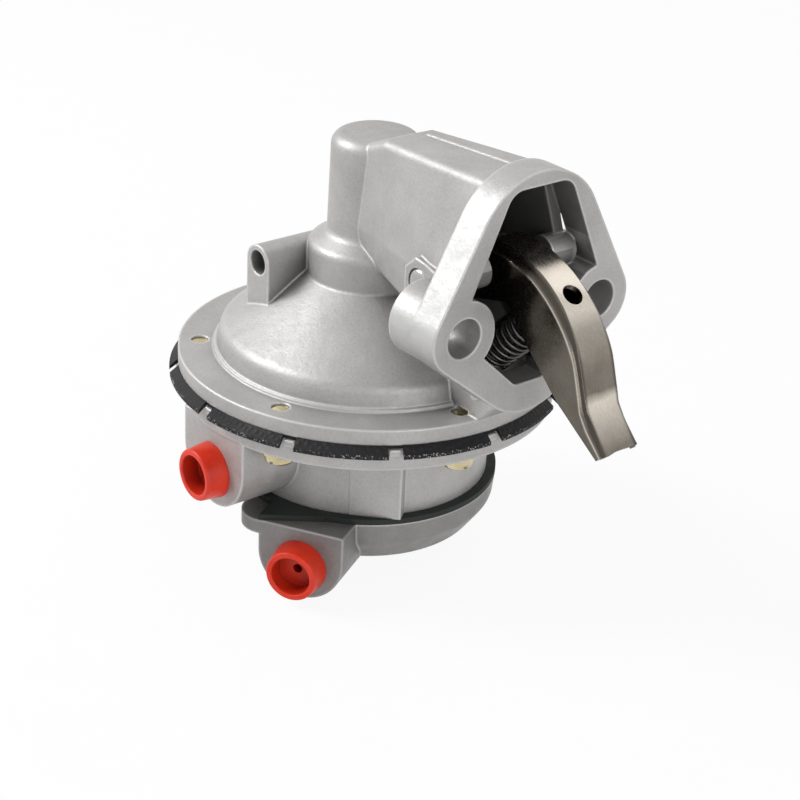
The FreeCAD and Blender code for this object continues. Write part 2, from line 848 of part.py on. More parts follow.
def housing_flange(body):
    """Mounting flange with its two lobes, and the web down to the diaphragm rim."""
    half_spacing = size("bolt_spacing") / 2
    bolt_up = size("bolt_line_up")
    outline = sketch_on(body, "flange_outline", "YZ_Plane", face_x())
    draw_lobes(outline, [
        (0, bolt_up + size("top_lobe_rise"), size("top_lobe_radius")),
        (-half_spacing, bolt_up, size("ear_radius")),
        (0, bolt_up - size("low_lobe_drop"), size("low_lobe_radius")),
        (half_spacing, bolt_up, size("ear_radius")),
    ])
    pad(body, "flange", outline, size("flange_thickness"), backwards=True)
    flange_back_x = face_x() - size("flange_thickness")
    lobe_bottom_up = bolt_up - size("low_lobe_drop") - size("low_lobe_radius")
    web = sketch_on(body, "web_outline", "XZ_Plane")
    draw_polygon(web, [
        (size("dome_radius") - 3, -1),
        (size("rim_radius") - 0.8, -1),
        (flange_back_x + 4, lobe_bottom_up + 0.5),
        (flange_back_x + 4, lobe_bottom_up + 6),
        (size("dome_radius") - 3, lobe_bottom_up),
    ])
    pad(body, "web", web, size("web_half") * 2, both_ways=True)


def housing_vent(body):
    """Horizontal vent tube on a foot that stands on the dome."""
    outline = sketch_on(body, "vent_outline", "XZ_Plane", size("vent_reach"))
    draw_tombstone(outline, -size("vent_offset"), size("vent_up"), size("vent_radius"), size("vent_foot_up"))
    pad(body, "vent", outline, size("vent_reach") - size("vent_back"), backwards=True)


def housing_pin_pads(body):
    """Outside pads round the pivot pin's ends, each tied to the flange by a gusset."""
    pin_x, pin_up = size("pin_x"), size("pin_up")
    outline = sketch_on(body, "pin_pad_outline", "XZ_Plane", size("pin_pad_half"))
    draw_polygon(outline, [(pin_x - 5.2, pin_up - 5), (pin_x + 6, pin_up - 3.4),
                           (pin_x + 5.6, pin_up + 5.6), (pin_x - 1.4, pin_up + 6.4),
                           (pin_x - 5.2, pin_up + 3)])
    one_pad = pad(body, "pin_pad", outline, size("pin_pad_half") - size("box_bend_mid_half") + 3,
                  backwards=True)
    gusset = sketch_on(body, "gusset_outline", "XY_Plane", pin_up + 3)
    flange_back_x = face_x() - size("flange_thickness")
    inner = size("box_bend_mid_half") - 1
    draw_polygon(gusset, [(pin_x + 2, -size("pin_pad_half")), (pin_x + 2, -inner),
                          (flange_back_x + 1, -inner), (flange_back_x + 1, -(size("pin_pad_half") + 4))])
    one_gusset = pad(body, "gusset", gusset, 3)
    mirror(body, "pin_pads_far", [one_pad, one_gusset])


def housing_dome_cavity(body):
    """Hollow of the dome over the diaphragm, and the spring chamber above it."""
    wall = size("dome_wall")
    chamber = size("spring_chamber_radius")
    turned(body, "dome_cavity", [
        (0, clamp_up() - 1),
        (size("clamp_radius"), clamp_up() - 1),
        (size("clamp_radius"), clamp_up()),
        (size("dome_top_radius") - wall, size("dome_shoulder_up") - wall * 0.6),
        (chamber, size("dome_crown_up") - wall * 0.6),
        (chamber, size("chamber_top_up")),
        (0, size("chamber_top_up")),
    ], cut=True)


def housing_hollows(body):
    """Column bore, rod guide, the hollow of the rocker box and its mouth."""
    floor_up = size("box_back_floor_up") + size("box_wall")
    bore_top_up = size("column_top_up") - size("column_roof")
    bore = sketch_on(body, "column_bore_circle", "XY_Plane", bore_top_up)
    draw_circle(bore, 0, 0, size("column_bore_radius"))
    pocket(body, "column_bore", bore, bore_top_up - floor_up)
    guide = sketch_on(body, "rod_guide_circle", "XY_Plane", floor_up + 1)
    draw_circle(guide, 0, 0, size("rod_radius") + size("running_fit"))
    pocket(body, "rod_guide", guide, floor_up + 2 - size("chamber_top_up"))
    neck = sketch_on(body, "neck_hollow_section", "YZ_Plane")
    half = size("link_fork_half") + 0.9
    draw_polygon(neck, [(-half, floor_up), (half, floor_up),
                        (half, size("neck_top_up") - 4), (-half, size("neck_top_up") - 4)])
    pocket(body, "neck_hollow", neck, size("box_start") + 4, backwards=True)
    flange_back_x = face_x() - size("flange_thickness")
    sections = box_sections(body, "hollow", size("box_start") + size("box_wall"), flange_back_x + 1.5,
                            size("box_wall"))
    loft(body, "hollow_rear", sections[:2], cut=True)
    loft(body, "hollow_bell", sections[2:], cut=True)
    bolt_up = size("bolt_line_up")
    mouth_round = size("mouth_round")
    mouth = sketch_on(body, "mouth_outline", "YZ_Plane", face_x())
    corners = [
        (size("mouth_top_half"), mouth_top_up(), mouth_round),
        (size("mouth_corner_half"), bolt_up + size("mouth_corner_up"), mouth_round * 0.6),
        (size("mouth_low_half"), bolt_up - size("mouth_low_down"), mouth_round * 0.6),
        (size("mouth_foot_half"), mouth_foot_up(), mouth_round * 0.6),
    ]
    far_side = [(-across, up, corner_round) for across, up, corner_round in reversed(corners)]
    draw_polygon(mouth, corners + far_side)
    pocket(body, "mouth", mouth, size("flange_thickness") + 0.2)


def housing_bosses(body):
    """Bolt ears, the pin's inner bosses, the mouth bosses and the return spring's spigot."""
    half_spacing = size("bolt_spacing") / 2
    ears = sketch_on(body, "ear_circles", "YZ_Plane", face_x())
    draw_circle(ears, -half_spacing, size("bolt_line_up"), size("ear_radius"))
    draw_circle(ears, half_spacing, size("bolt_line_up"), size("ear_radius"))
    pad(body, "ears", ears, size("ear_depth"), backwards=True)
    pin_start = size("arm_half_width") + size("side_play")
    inner = sketch_on(body, "pin_boss_circle", "XZ_Plane", pin_start)
    draw_circle(inner, size("pin_x"), size("pin_up"), size("pin_boss_radius"))
    one_boss = pad(body, "pin_boss", inner, size("box_bend_mid_half") - pin_start - 0.6)
    mirror(body, "pin_boss_far", [one_boss])
    stop = sketch_on(body, "mouth_boss_circle", "XZ_Plane", size("mouth_boss_half"))
    draw_circle(stop, size("mouth_boss_x"), size("mouth_boss_up"), size("mouth_boss_radius"))
    one_stop = pad(body, "mouth_boss", stop, size("box_front_mid_half") - size("mouth_boss_half") - 2)
    mirror(body, "mouth_boss_far", [one_stop])
    spigot = sketch_leaning(body, "spigot_circle", size("return_foot_x"), size("return_foot_up"),
                            size("return_lean"))
    draw_circle(spigot, 0, 0, size("spigot_radius"))
    pad(body, "spigot", spigot, size("spigot_height"))
    root_sketch = sketch_leaning(body, "spigot_root_circle", size("return_foot_x"), size("return_foot_up"),
                                 size("return_lean"))
    draw_circle(root_sketch, 0, 0, size("return_spring_radius") + size("return_wire_radius") + 0.5)
    pad(body, "spigot_root", root_sketch, 2.6, backwards=True)


def housing_holes(body):
    """Bolt holes, pin bore, vent hole and the tapped holes of the rim."""
    half_spacing = size("bolt_spacing") / 2
    bolts = sketch_on(body, "bolt_circles", "YZ_Plane", face_x())
    draw_circle(bolts, -half_spacing, size("bolt_line_up"), size("bolt_hole_radius"))
    draw_circle(bolts, half_spacing, size("bolt_line_up"), size("bolt_hole_radius"))
    pocket(body, "bolt_holes", bolts, size("ear_depth") + 6)
    pin = sketch_on(body, "pin_bore_circle", "XZ_Plane")
    draw_circle(pin, size("pin_x"), size("pin_up"), size("pin_radius") + size("pin_fit"))
    pocket(body, "pin_bore", pin, size("pin_pad_half") * 2 + 10, both_ways=True)
    vent = sketch_on(body, "vent_circle", "XZ_Plane", size("vent_reach"))
    draw_circle(vent, -size("vent_offset"), size("vent_up"), size("vent_hole_radius"))
    pocket(body, "vent_hole", vent, size("vent_hole_depth"))
    screw_holes(body, "tapped_hole", size("step_height"), size("upper_rim_thickness") + 4,
                size("screw_radius") + size("screw_clearance"))


def make_upper_housing():
    """The aluminium casting that carries the rocker box, the flange and the dome."""
    body = new_body("upper_housing")
    housing_turned_form(body)
    housing_vent(body)
    housing_dome_cavity(body)
    housing_box(body)
    housing_flange(body)
    housing_pin_pads(body)
    housing_hollows(body)
    housing_bosses(body)
    housing_holes(body)


# Valve body

def valve_places():
    """Where each check valve stands: name, side of the centre and the way that it opens."""
    return (("outlet", -1), ("inlet", 1))


def make_valve_body():
    """The lower casting, with the outlet port, the bowl and the two valve pockets."""
    body = new_body("valve_body")
    rim_top, rim_bottom = lower_rim_top_up(), lower_rim_bottom_up()
    bottom_up = -size("body_bottom_down")
    turned(body, "body_form", [
        (0, bottom_up),
        (size("body_radius"), bottom_up),
        (size("body_radius"), rim_bottom, size("body_fillet")),
        (size("lower_rim_radius"), rim_bottom),
        (size("lower_rim_radius"), rim_top),
        (0, rim_top),
    ])
    port = sketch_facing(body, "outlet_outline", size("outlet_angle"), size("outlet_reach"))
    draw_tombstone(port, size("outlet_side"), -size("outlet_arc_down"), size("outlet_half"), rim_bottom + 1)
    pad(body, "outlet_boss", port, size("outlet_boss_length"), backwards=True)
    prow = sketch_on(body, "prow_outline", "XY_Plane", bottom_up)
    draw_polygon(prow, [
        (size("facet_x"), size("facet_y")),
        (size("prow_x"), size("prow_y")),
        (size("prow_x") - 3.4, size("prow_y") + 4.6),
        (10, -5),
    ])
    pad(body, "prow", prow, rim_bottom - bottom_up + 1)
    nub = sketch_on(body, "nub_outline", "XY_Plane", rim_top - 2)
    inner, outer = size("lower_rim_radius") - 1.6, size("lower_rim_radius") + 1.2
    half = size("notch_width") / 2 - 0.4
    draw_polygon(nub, [(inner, -half), (outer, -half), (outer, half), (inner, half)])
    one_nub = pad(body, "nub", nub, 2 - 0.2)
    body.Tip = one_nub
    polar(body, "nub_ring", one_nub, size("tab_count"))
    bowl_floor = bowl_floor_up()
    turned(body, "bowl", [
        (0, bowl_floor - size("nut_relief_depth")),
        (size("nut_relief_radius"), bowl_floor - size("nut_relief_depth")),
        (size("nut_relief_radius"), bowl_floor),
        (size("bowl_radius"), bowl_floor),
        (size("clamp_radius"), rim_top),
        (size("clamp_radius"), rim_top + 1),
        (0, rim_top + 1),
    ], cut=True)
    turned(body, "lower_recess", [
        (size("post_radius"), bottom_up - 1),
        (size("lower_recess_radius"), bottom_up - 1),
        (size("lower_recess_radius"), bottom_up + size("lower_recess_depth")),
        (size("post_radius"), bottom_up + size("lower_recess_depth")),
    ], cut=True)
    outlet = sketch_on(body, "outlet_pocket_circle", "XY_Plane", bowl_floor + 1)
    draw_circle(outlet, 0, -size("valve_offset"), size("valve_pocket_radius"))
    pocket(body, "outlet_pocket", outlet, bowl_floor + 1 + size("gallery_floor_down"))
    inlet = sketch_on(body, "inlet_pocket_circle", "XY_Plane", bottom_up)
    draw_circle(inlet, 0, size("valve_offset"), size("valve_pocket_radius"))
    pocket(body, "inlet_pocket", inlet, bowl_floor - bottom_up + 1, backwards=True)
    bore = sketch_facing(body, "outlet_bore_circle", size("outlet_angle"), size("outlet_reach"))
    draw_circle(bore, size("outlet_side"), -size("outlet_down"), size("port_thread_radius"))
    pocket(body, "outlet_bore", bore, size("outlet_reach") - size("valve_offset"))
    thread = sketch_on(body, "centre_thread_circle", "XY_Plane", bottom_up)
    draw_circle(thread, 0, 0, size("centre_bolt_radius") + size("valve_fit"))
    pocket(body, "centre_thread", thread, size("centre_bolt_reach") + 1, backwards=True)
    screw_holes(body, "rim_hole", rim_top + 1, size("lower_rim_thickness") + 4, size("screw_radius") + 0.3)


# Diaphragm stack

def make_diaphragm():
    """Rubber-faced fabric disc, clamped at the rim, with notched tabs round its edge."""
    body = new_body("diaphragm")
    top, thickness = clamp_up(), size("diaphragm_thickness")
    centre = centre_up()
    plate_edge = size("upper_plate_radius") + 0.6
    turned(body, "disc", [
        (size("rod_thread_radius") + 0.1, centre - thickness),
        (plate_edge, centre - thickness),
        (size("clamp_radius") - 0.3, top - thickness),
        (size("lower_rim_radius") + 0.4, top - thickness),
        (diaphragm_reach(), top - thickness - size("diaphragm_droop")),
        (diaphragm_reach(), top - size("diaphragm_droop")),
        (size("lower_rim_radius") + 0.8, top),
        (size("clamp_radius") - 0.5, top),
        (plate_edge - 1, centre),
        (size("rod_thread_radius") + 0.1, centre),
    ])
    notch = sketch_on(body, "notch_outline", "XY_Plane", top + 1)
    inner = diaphragm_reach() - size("notch_depth")
    half = size("notch_width") / 2
    draw_polygon(notch, [(inner, -half), (diaphragm_reach() + 1, -half),
                         (diaphragm_reach() + 1, half), (inner, half)])
    one_notch = pocket(body, "notch", notch, thickness + size("diaphragm_droop") + 3)
    polar(body, "notches", one_notch, size("tab_count"))
    screw_holes(body, "disc_hole", top + 1, thickness + 2, size("screw_radius") + 0.3)


def make_plates():
    """The two metal plates that hold the diaphragm's centre."""
    upper = new_body("upper_plate")
    top = plate_top_up()
    lip_up = top + size("plate_lip")
    radius, thickness = size("upper_plate_radius"), size("plate_thickness")
    bore = size("rod_thread_radius") + 0.1
    form = turned(upper, "upper_form", [
        (bore, centre_up()), (radius, centre_up()), (radius, lip_up),
        (radius - thickness, lip_up), (radius - thickness, top), (bore, top)])
    doc.recompute()
    round_edges(upper, "upper_round", form, ring_edges(form, radius, centre_up()), thickness * 0.8)
    lower = new_body("lower_plate")
    seat = centre_up() - size("diaphragm_thickness")
    lower_radius = size("lower_plate_radius")
    form = turned(lower, "lower_form", [
        (bore, seat - thickness), (lower_radius, seat - thickness), (lower_radius, seat), (bore, seat)])
    doc.recompute()
    round_edges(lower, "lower_round", form, ring_edges(form, lower_radius, seat - thickness), thickness * 0.6)


def rod_head_up():
    """Underside of the pull rod's head, just over the link's knuckles."""
    return size("pin_up") + size("link_knuckle_radius") + size("seat_gap")


def nut_seat_up():
    return centre_up() - size("diaphragm_thickness") - size("plate_thickness")


def make_pull_rod():
    """Rod from the diaphragm up to the link's fork, with a head that the fork lifts."""
    body = new_body("pull_rod")
    thread, rod, head = size("rod_thread_radius"), size("rod_radius"), size("rod_head_radius")
    collar, collar_top = size("rod_collar_radius"), plate_top_up() + size("rod_collar_height")
    foot = nut_seat_up() - size("nut_height")
    head_up, top = rod_head_up(), rod_head_up() + size("rod_head_height")
    form = turned(body, "rod_form", [
        (0, foot), (thread, foot), (thread, plate_top_up()), (collar, plate_top_up()), (collar, collar_top),
        (rod, collar_top), (rod, head_up), (head, head_up), (head, top), (0, top)])
    doc.recompute()
    round_edges(body, "head_round", form, ring_edges(form, head, top), size("rod_head_height") * 0.4)


def make_rod_nut():
    """Six-sided nut under the lower plate."""
    body = new_body("rod_nut")
    sketch = sketch_on(body, "nut_outline", "XY_Plane", nut_seat_up())
    radius = size("nut_radius")
    draw_polygon(sketch, [(radius * cosine(60 * step), radius * sine(60 * step)) for step in range(6)])
    pad(body, "nut_form", sketch, size("nut_height"), backwards=True)
    bore = sketch_on(body, "nut_bore_circle", "XY_Plane", nut_seat_up())
    draw_circle(bore, 0, 0, size("rod_thread_radius") + size("valve_fit"))
    pocket(body, "nut_bore", bore, size("nut_height") + 1)


def make_seal():
    """Oil seal round the rod and the stamped cup that holds it, which is also the spring's seat."""
    ceiling = size("chamber_top_up")
    seal = new_body("rod_seal")
    inner, outer = size("rod_radius") + size("running_fit"), size("seal_radius")
    seal_foot = ceiling - size("seal_height")
    turned(seal, "seal_form", [(inner, seal_foot), (outer, seal_foot), (outer, ceiling), (inner + 1.2, ceiling),
                               (inner, ceiling - 1.6)])
    cup = new_body("seal_retainer")
    wall = size("retainer_thickness")
    cup_inner = outer + size("running_fit")
    cup_foot = seal_foot - wall
    form = turned(cup, "retainer_form", [
        (size("rod_radius") + 0.8, cup_foot), (cup_inner + wall, cup_foot), (cup_inner + wall, ceiling - wall),
        (size("retainer_radius"), ceiling - wall), (size("retainer_radius"), ceiling), (cup_inner, ceiling),
        (cup_inner, seal_foot), (size("rod_radius") + 0.8, seal_foot)])
    doc.recompute()
    round_edges(cup, "retainer_round", form, ring_edges(form, cup_inner + wall, cup_foot), wall * 0.7)


def make_main_spring():
    """Spring between the seal's cup and the upper plate, which drives the fuel out."""
    body = new_body("main_spring")
    wire = size("main_wire_radius")
    foot = plate_top_up() + wire + size("running_fit")
    top = size("chamber_top_up") - size("retainer_thickness") - wire - size("running_fit")
    coil(body, "main_coil", size("main_spring_radius"), wire, foot, top - foot, size("main_spring_turns"))


# Rocker mechanism

def make_pivot_pin():
    """Steel pin, rounded at its ends, pressed into the housing."""
    body = new_body("pivot_pin")
    half = size("pin_pad_half") + size("pin_proud")
    sketch = sketch_on(body, "pin_circle", "XZ_Plane")
    draw_circle(sketch, size("pin_x"), size("pin_up"), size("pin_radius"))
    form = pad(body, "pin_form", sketch, half * 2, both_ways=True)
    doc.recompute()
    ends = ["Edge%d" % index for index, edge in enumerate(form.Shape.Edges, start=1)
            if isinstance(edge.Curve, Part.Circle)]
    round_edges(body, "pin_ends", form, ends, size("pin_radius") * 0.35)


def arm_back(inset=0):
    """The arm's back from heel to tip, as rounded corners, or its inner face when inset by the wall."""
    inset = as_size(inset)
    lean = size("arm_back_turn") / 2
    shift = inset * sine(lean) / cosine(lean)
    return [
        (size("arm_heel_x") + inset * 0.6, size("arm_heel_up") - inset),
        (size("arm_back_start_x"), size("arm_back_top_up") - inset, size("arm_heel_round")),
        (size("arm_back_corner_x") - shift, size("arm_back_top_up") - inset,
         size("arm_back_radius") - inset),
        (size("arm_fold_x") - inset * 0.9, size("arm_fold_up") - inset * 0.5,
         size("arm_fold_round") + inset),
    ]


def seat_edge(side):
    """An end of the arm's edge that bears on the return spring, square to the spring's axis."""
    lean, length = size("return_lean"), size("return_length")
    across = size("return_spring_radius") + size("return_wire_radius") + 0.6
    place_x = size("return_foot_x") + length * sine(lean) + across * cosine(lean) * side
    place_up = size("return_foot_up") + length * cosine(lean) - across * sine(lean) * side
    return place_x, place_up


def back_edges(feature):
    """Names of the long edges where the arm's back meets its two side plates."""
    half = size("arm_half_width").number
    names = []
    for index, edge in enumerate(feature.Shape.Edges, start=1):
        middle = edge.valueAt((edge.FirstParameter + edge.LastParameter) / 2)
        on_side = abs(abs(middle.y) - half) < 1e-6
        if on_side and middle.x + middle.z > SIZES["arm_tip_x"] + SIZES["arm_tip_up"]:
            names.append("Edge%d" % index)
    return names


def make_rocker_arm():
    """Stamped steel channel that rides the engine's push rod and swings on the pivot pin."""
    body = new_body("rocker_arm")
    pin_x, pin_up = size("pin_x"), size("pin_up")
    eye = size("arm_eye_radius")
    side = sketch_on(body, "arm_side", "XZ_Plane")
    seat_out, seat_in = seat_edge(1), seat_edge(-1)
    draw_polygon(side, arm_back() + [
        (size("arm_tip_x"), size("arm_tip_up")),
        (size("arm_tip_x") - 1.6, size("arm_tip_up") - 1.0),
        (size("arm_fold_x") - 9.4, size("arm_fold_up") - 0.6),
        seat_out,
        seat_in,
        (pin_x + eye, pin_up - 3.4),
        (pin_x + 3.4, pin_up - eye + 0.4, 4.0),
        (pin_x - eye + 0.6, pin_up - eye + 0.8, 5.0),
        (pin_x - eye + 0.4, pin_up + eye - 0.8, 5.0),
    ])
    form = pad(body, "arm_form", side, size("arm_half_width") * 2, both_ways=True)
    doc.recompute()
    round_edges(body, "arm_bend", form, back_edges(form), size("arm_bend_radius"))
    wall = size("arm_thickness")
    inside = sketch_on(body, "channel_side", "XZ_Plane")
    draw_polygon(inside, arm_back(wall) + [
        (size("arm_tip_x") - wall, size("arm_tip_up") - 0.2),
        (size("arm_tip_x"), size("arm_tip_up") - 4),
        (size("arm_fold_x") - 10, size("arm_fold_up") - 6),
        (seat_out[0] + 1.2, seat_out[1] - 4.0),
        (seat_out[0] + 1.2 + wall, seat_out[1] + wall),
        (seat_in[0] + wall, seat_in[1] + wall + 0.4),
        (seat_in[0] - 1.6, seat_in[1] - 1.0),
        (pin_x + 6, pin_up - eye - 4),
        (pin_x - eye - 2, pin_up - eye - 4),
        (pin_x - eye - 2, pin_up + eye + 4),
        (size("arm_heel_x"), size("arm_heel_up") + 6),
    ])
    pocket(body, "channel", inside, arm_inner_half() * 2, both_ways=True)
    slits = sketch_on(body, "slit_sections", "YZ_Plane", size("arm_tip_x") + 2)
    for way in (-1, 1):
        outer = arm_inner_half() * way
        inner = (arm_inner_half() - size("pad_slit")) * way
        left, right = (outer, inner) if way < 0 else (inner, outer)
        draw_polygon(slits, [(left, size("arm_tip_up") - 3), (right, size("arm_tip_up") - 3),
                             (right, size("arm_fold_up") - 1), (left, size("arm_fold_up") - 1)])
    pocket(body, "slits", slits, size("arm_tip_x") + 2 - size("arm_fold_x") + 3)
    hole_x = size("arm_hole_x")
    hole = sketch_leaning(body, "arm_hole_circle", hole_x, size("arm_hole_up"), size("arm_hole_lean"))
    draw_circle(hole, 0, 0, size("arm_hole_radius"))
    pocket(body, "arm_hole", hole, wall * 4, both_ways=True)
    bore = sketch_on(body, "arm_bore_circle", "XZ_Plane")
    draw_circle(bore, pin_x, pin_up, size("pin_radius") + size("running_fit"))
    pocket(body, "arm_bore", bore, size("arm_half_width") * 2 + 2, both_ways=True)


def make_link_lever():
    """Lever on the same pin, whose forked end lifts the pull rod."""
    body = new_body("link_lever")
    pin_x, pin_up = size("pin_x"), size("pin_up")
    knuckle, eye = size("link_knuckle_radius"), size("link_eye_radius")
    eye_half = arm_inner_half() - size("link_side_play")
    beam = sketch_on(body, "link_side", "XZ_Plane")
    draw_lobes(beam, [(0, pin_up, knuckle - size("link_beam_slim")), (pin_x, pin_up, eye)])
    pad(body, "link_form", beam, eye_half * 2, both_ways=True)
    cheek = sketch_on(body, "fork_outline", "XY_Plane", pin_up - knuckle)
    half = size("link_fork_half")
    reach = size("box_start") + 14
    inner_edge = size("rod_radius") + size("fork_gap")
    draw_polygon(cheek, [(0, inner_edge), (reach - 8, inner_edge), (reach, eye_half - 1),
                         (reach - 4, half), (0, half)])
    one_cheek = pad(body, "cheek", cheek, knuckle * 2)
    mirror(body, "cheek_far", [one_cheek])
    knuckles = sketch_on(body, "knuckle_circle", "XZ_Plane")
    draw_circle(knuckles, 0, pin_up, knuckle)
    pad(body, "knuckles", knuckles, half * 2, both_ways=True)
    gap = sketch_on(body, "fork_gap_outline", "XY_Plane", pin_up + knuckle + 1)
    gap_end = size("rod_radius") + 4
    draw_polygon(gap, [(-knuckle - 2, -inner_edge), (gap_end, -inner_edge),
                       (gap_end, inner_edge), (-knuckle - 2, inner_edge)])
    pocket(body, "fork_gap", gap, knuckle * 2 + 4)
    bore = sketch_on(body, "link_bore_circle", "XZ_Plane")
    draw_circle(bore, pin_x, pin_up, size("pin_radius") + size("running_fit"))
    pocket(body, "link_bore", bore, eye_half * 2 + 2, both_ways=True)


def make_return_spring():
    """Coil spring that lifts the arm against the push rod."""
    body = new_body("return_spring")
    wire = size("return_wire_radius")
    start = wire + size("running_fit")
    height = size("return_length") - start * 2
    coil(body, "return_coil", size("return_spring_radius"), wire, start, height, size("return_spring_turns"))
    body.setExpression("Placement.Base.x", (size("return_foot_x") - face_x()).formula)
    body.setExpression("Placement.Base.z", (size("return_foot_up") - size("bolt_line_up")).formula)
    body.Placement.Rotation = FreeCAD.Rotation(Vector(0, 1, 0), SIZES["return_lean"])


# Fasteners

def make_screws():
    """Rim screws, driven up from below, and the washers under their heads."""
    screws = new_body("rim_screws")
    ring, radius = size("screw_circle_radius"), size("screw_radius")
    seat = lower_rim_bottom_up() - size("washer_thickness")
    foot = seat - size("screw_head_height")
    tip = size("screw_tip_proud")
    shank = sketch_on(screws, "shank_circle", "XY_Plane", seat)
    draw_circle(shank, ring, 0, radius)
    one_shank = pad(screws, "shank", shank, tip - seat)
    head = sketch_on(screws, "head_circle", "XY_Plane", seat)
    draw_circle(head, ring, 0, size("screw_head_radius"))
    one_head = pad(screws, "head", head, size("screw_head_height"), backwards=True)
    doc.recompute()
    rim = ring_edges(one_head, size("screw_head_radius"), foot)
    crown = round_edges(screws, "head_crown", one_head, rim, size("screw_head_height") * 0.45)
    slot = sketch_on(screws, "slot_outline", "XY_Plane", foot)
    width = size("screw_slot_width") / 2
    reach = size("screw_head_radius") + 1
    draw_polygon(slot, [(ring - reach, -width), (ring + reach, -width), (ring + reach, width), (ring - reach, width)])
    pocket(screws, "slot", slot, size("screw_slot_depth"), backwards=True)
    doc.recompute()
    repeat_solid(screws, size("screw_angle"), size("screw_count"))
    washers = new_body("rim_washers")
    disc = sketch_on(washers, "washer_circle", "XY_Plane", lower_rim_bottom_up())
    draw_circle(disc, ring, 0, size("washer_radius"))
    draw_circle(disc, ring, 0, radius + 0.3)
    pad(washers, "washer", disc, size("washer_thickness"), backwards=True)
    repeat_solid(washers, size("screw_angle"), size("screw_count"))


def repeat_solid(body, angle, count):
    """Repeat all of a body's features round the pump axis and turn them to their place."""
    features = [feature for feature in body.Group
                if feature.TypeId in ("PartDesign::Pad", "PartDesign::Pocket", "PartDesign::Fillet")]
    pattern = body.newObject("PartDesign::PolarPattern", body.Label + "_ring")
    pattern.Originals = features
    pattern.TransformMode = "Whole shape"
    pattern.Axis = (origin_part(body, "Z_Axis"), [""])
    pattern.Angle = 360.0
    pattern.Occurrences = int(count.number)
    pattern.setExpression("Occurrences", count.formula)
    body.Tip = pattern
    body.Placement.Rotation = FreeCAD.Rotation(Vector(0, 0, 1), angle.number)


def make_centre_bolt():
    """Bolt that holds the cover from below, with its sealing washer."""
    recess_up = -size("cover_bottom_down") + size("cover_recess_depth")
    washer_t = size("centre_washer_thickness")
    bolt = new_body("cover_bolt")
    seat = recess_up - washer_t
    foot = seat - size("centre_head_height")
    tip = -size("body_bottom_down") + size("centre_bolt_reach")
    shank = sketch_on(bolt, "bolt_shank_circle", "XY_Plane", seat)
    draw_circle(shank, 0, 0, size("centre_bolt_radius"))
    pad(bolt, "bolt_shank", shank, tip - seat)
    head = sketch_on(bolt, "bolt_head_outline", "XY_Plane", seat)
    radius = size("centre_head_radius")
    draw_polygon(head, [(radius * cosine(60 * step), radius * sine(60 * step)) for step in range(6)])
    pad(bolt, "bolt_head", head, seat - foot, backwards=True)
    washer = new_body("cover_bolt_washer")
    turned(washer, "washer_form", [
        (size("centre_bolt_radius") + 0.1, seat), (size("centre_washer_radius"), seat),
        (size("centre_washer_radius"), recess_up), (size("centre_bolt_radius") + 0.1, recess_up)])


# Bottom cover

def make_pulsator():
    """Rubber disc between the valve body and the cover, which smooths the flow."""
    body = new_body("pulsator_diaphragm")
    top, thickness = -size("body_bottom_down"), size("pulsator_thickness")
    turned(body, "pulsator_disc", [
        (size("centre_bolt_radius") + 0.4, top - thickness), (size("cover_radius"), top - thickness),
        (size("cover_radius"), top), (size("centre_bolt_radius") + 0.4, top)])
    ear = sketch_on(body, "pulsator_ear_outline", "XY_Plane", top)
    start, side = size("inlet_reach") - size("inlet_boss_length"), -size("inlet_half")
    draw_polygon(ear, [round_axis(size("inlet_angle"), reach, across) for reach, across in (
        (start, side), (size("inlet_reach"), side),
        (size("ear_corner_reach"), size("ear_corner_side")), (start, size("ear_corner_side")))])
    pad(body, "pulsator_ear", ear, thickness, backwards=True)
    transfer = sketch_on(body, "transfer_circle", "XY_Plane", top + 1)
    draw_circle(transfer, 0, size("valve_offset"), size("transfer_radius"))
    pocket(body, "transfer", transfer, thickness + 2)


def make_bottom_cover():
    """Cast cover with the inlet port and the inlet chamber."""
    body = new_body("bottom_cover")
    top, bottom = cover_top_up(), -size("cover_bottom_down")
    turned(body, "cover_form", [
        (0, bottom),
        (size("cover_bottom_radius"), bottom, size("cover_fillet")),
        (size("cover_radius") - 0.6, -size("cover_shoulder_down"), size("cover_fillet")),
        (size("cover_radius"), top),
        (0, top),
    ])
    port = sketch_facing(body, "inlet_outline", size("inlet_angle"), size("inlet_reach"))
    draw_tombstone(port, 0, -size("inlet_arc_down"), size("inlet_half"), top)
    pad(body, "inlet_boss", port, size("inlet_boss_length"), backwards=True)
    lobe = sketch_on(body, "lobe_circle", "XY_Plane", top)
    draw_circle(lobe, size("lobe_x"), size("lobe_y"), size("lobe_radius"))
    pad(body, "lobe", lobe, size("lobe_thickness"), backwards=True)
    wall = size("cover_wall")
    chamber_floor = bottom + size("cover_recess_depth") + wall
    turned(body, "cover_chamber", [
        (size("post_radius"), chamber_floor), (size("lower_recess_radius") - 2, chamber_floor),
        (size("lower_recess_radius"), top + 1), (size("post_radius"), top + 1)], cut=True)
    turned(body, "bolt_recess", [
        (0, bottom - 1), (size("cover_recess_radius"), bottom - 1),
        (size("cover_recess_radius"), bottom + size("cover_recess_depth")),
        (0, bottom + size("cover_recess_depth"))], cut=True)
    bore = sketch_facing(body, "inlet_bore_circle", size("inlet_angle"), size("inlet_reach"))
    draw_circle(bore, 0, -size("inlet_down"), size("port_thread_radius"))
    pocket(body, "inlet_bore", bore, size("port_depth"))
    gallery = sketch_on(body, "gallery_circle", "XY_Plane", top)
    reach = size("inlet_reach") - size("port_depth")
    draw_circle(gallery, reach * cosine(size("inlet_angle")), reach * sine(size("inlet_angle")),
                size("transfer_radius"))
    pocket(body, "gallery", gallery, size("inlet_down") + top)
    hole = sketch_on(body, "cover_hole_circle", "XY_Plane", top)
    draw_circle(hole, 0, 0, size("centre_bolt_radius") + 0.3)
    pocket(body, "cover_hole", hole, top - bottom + 1)


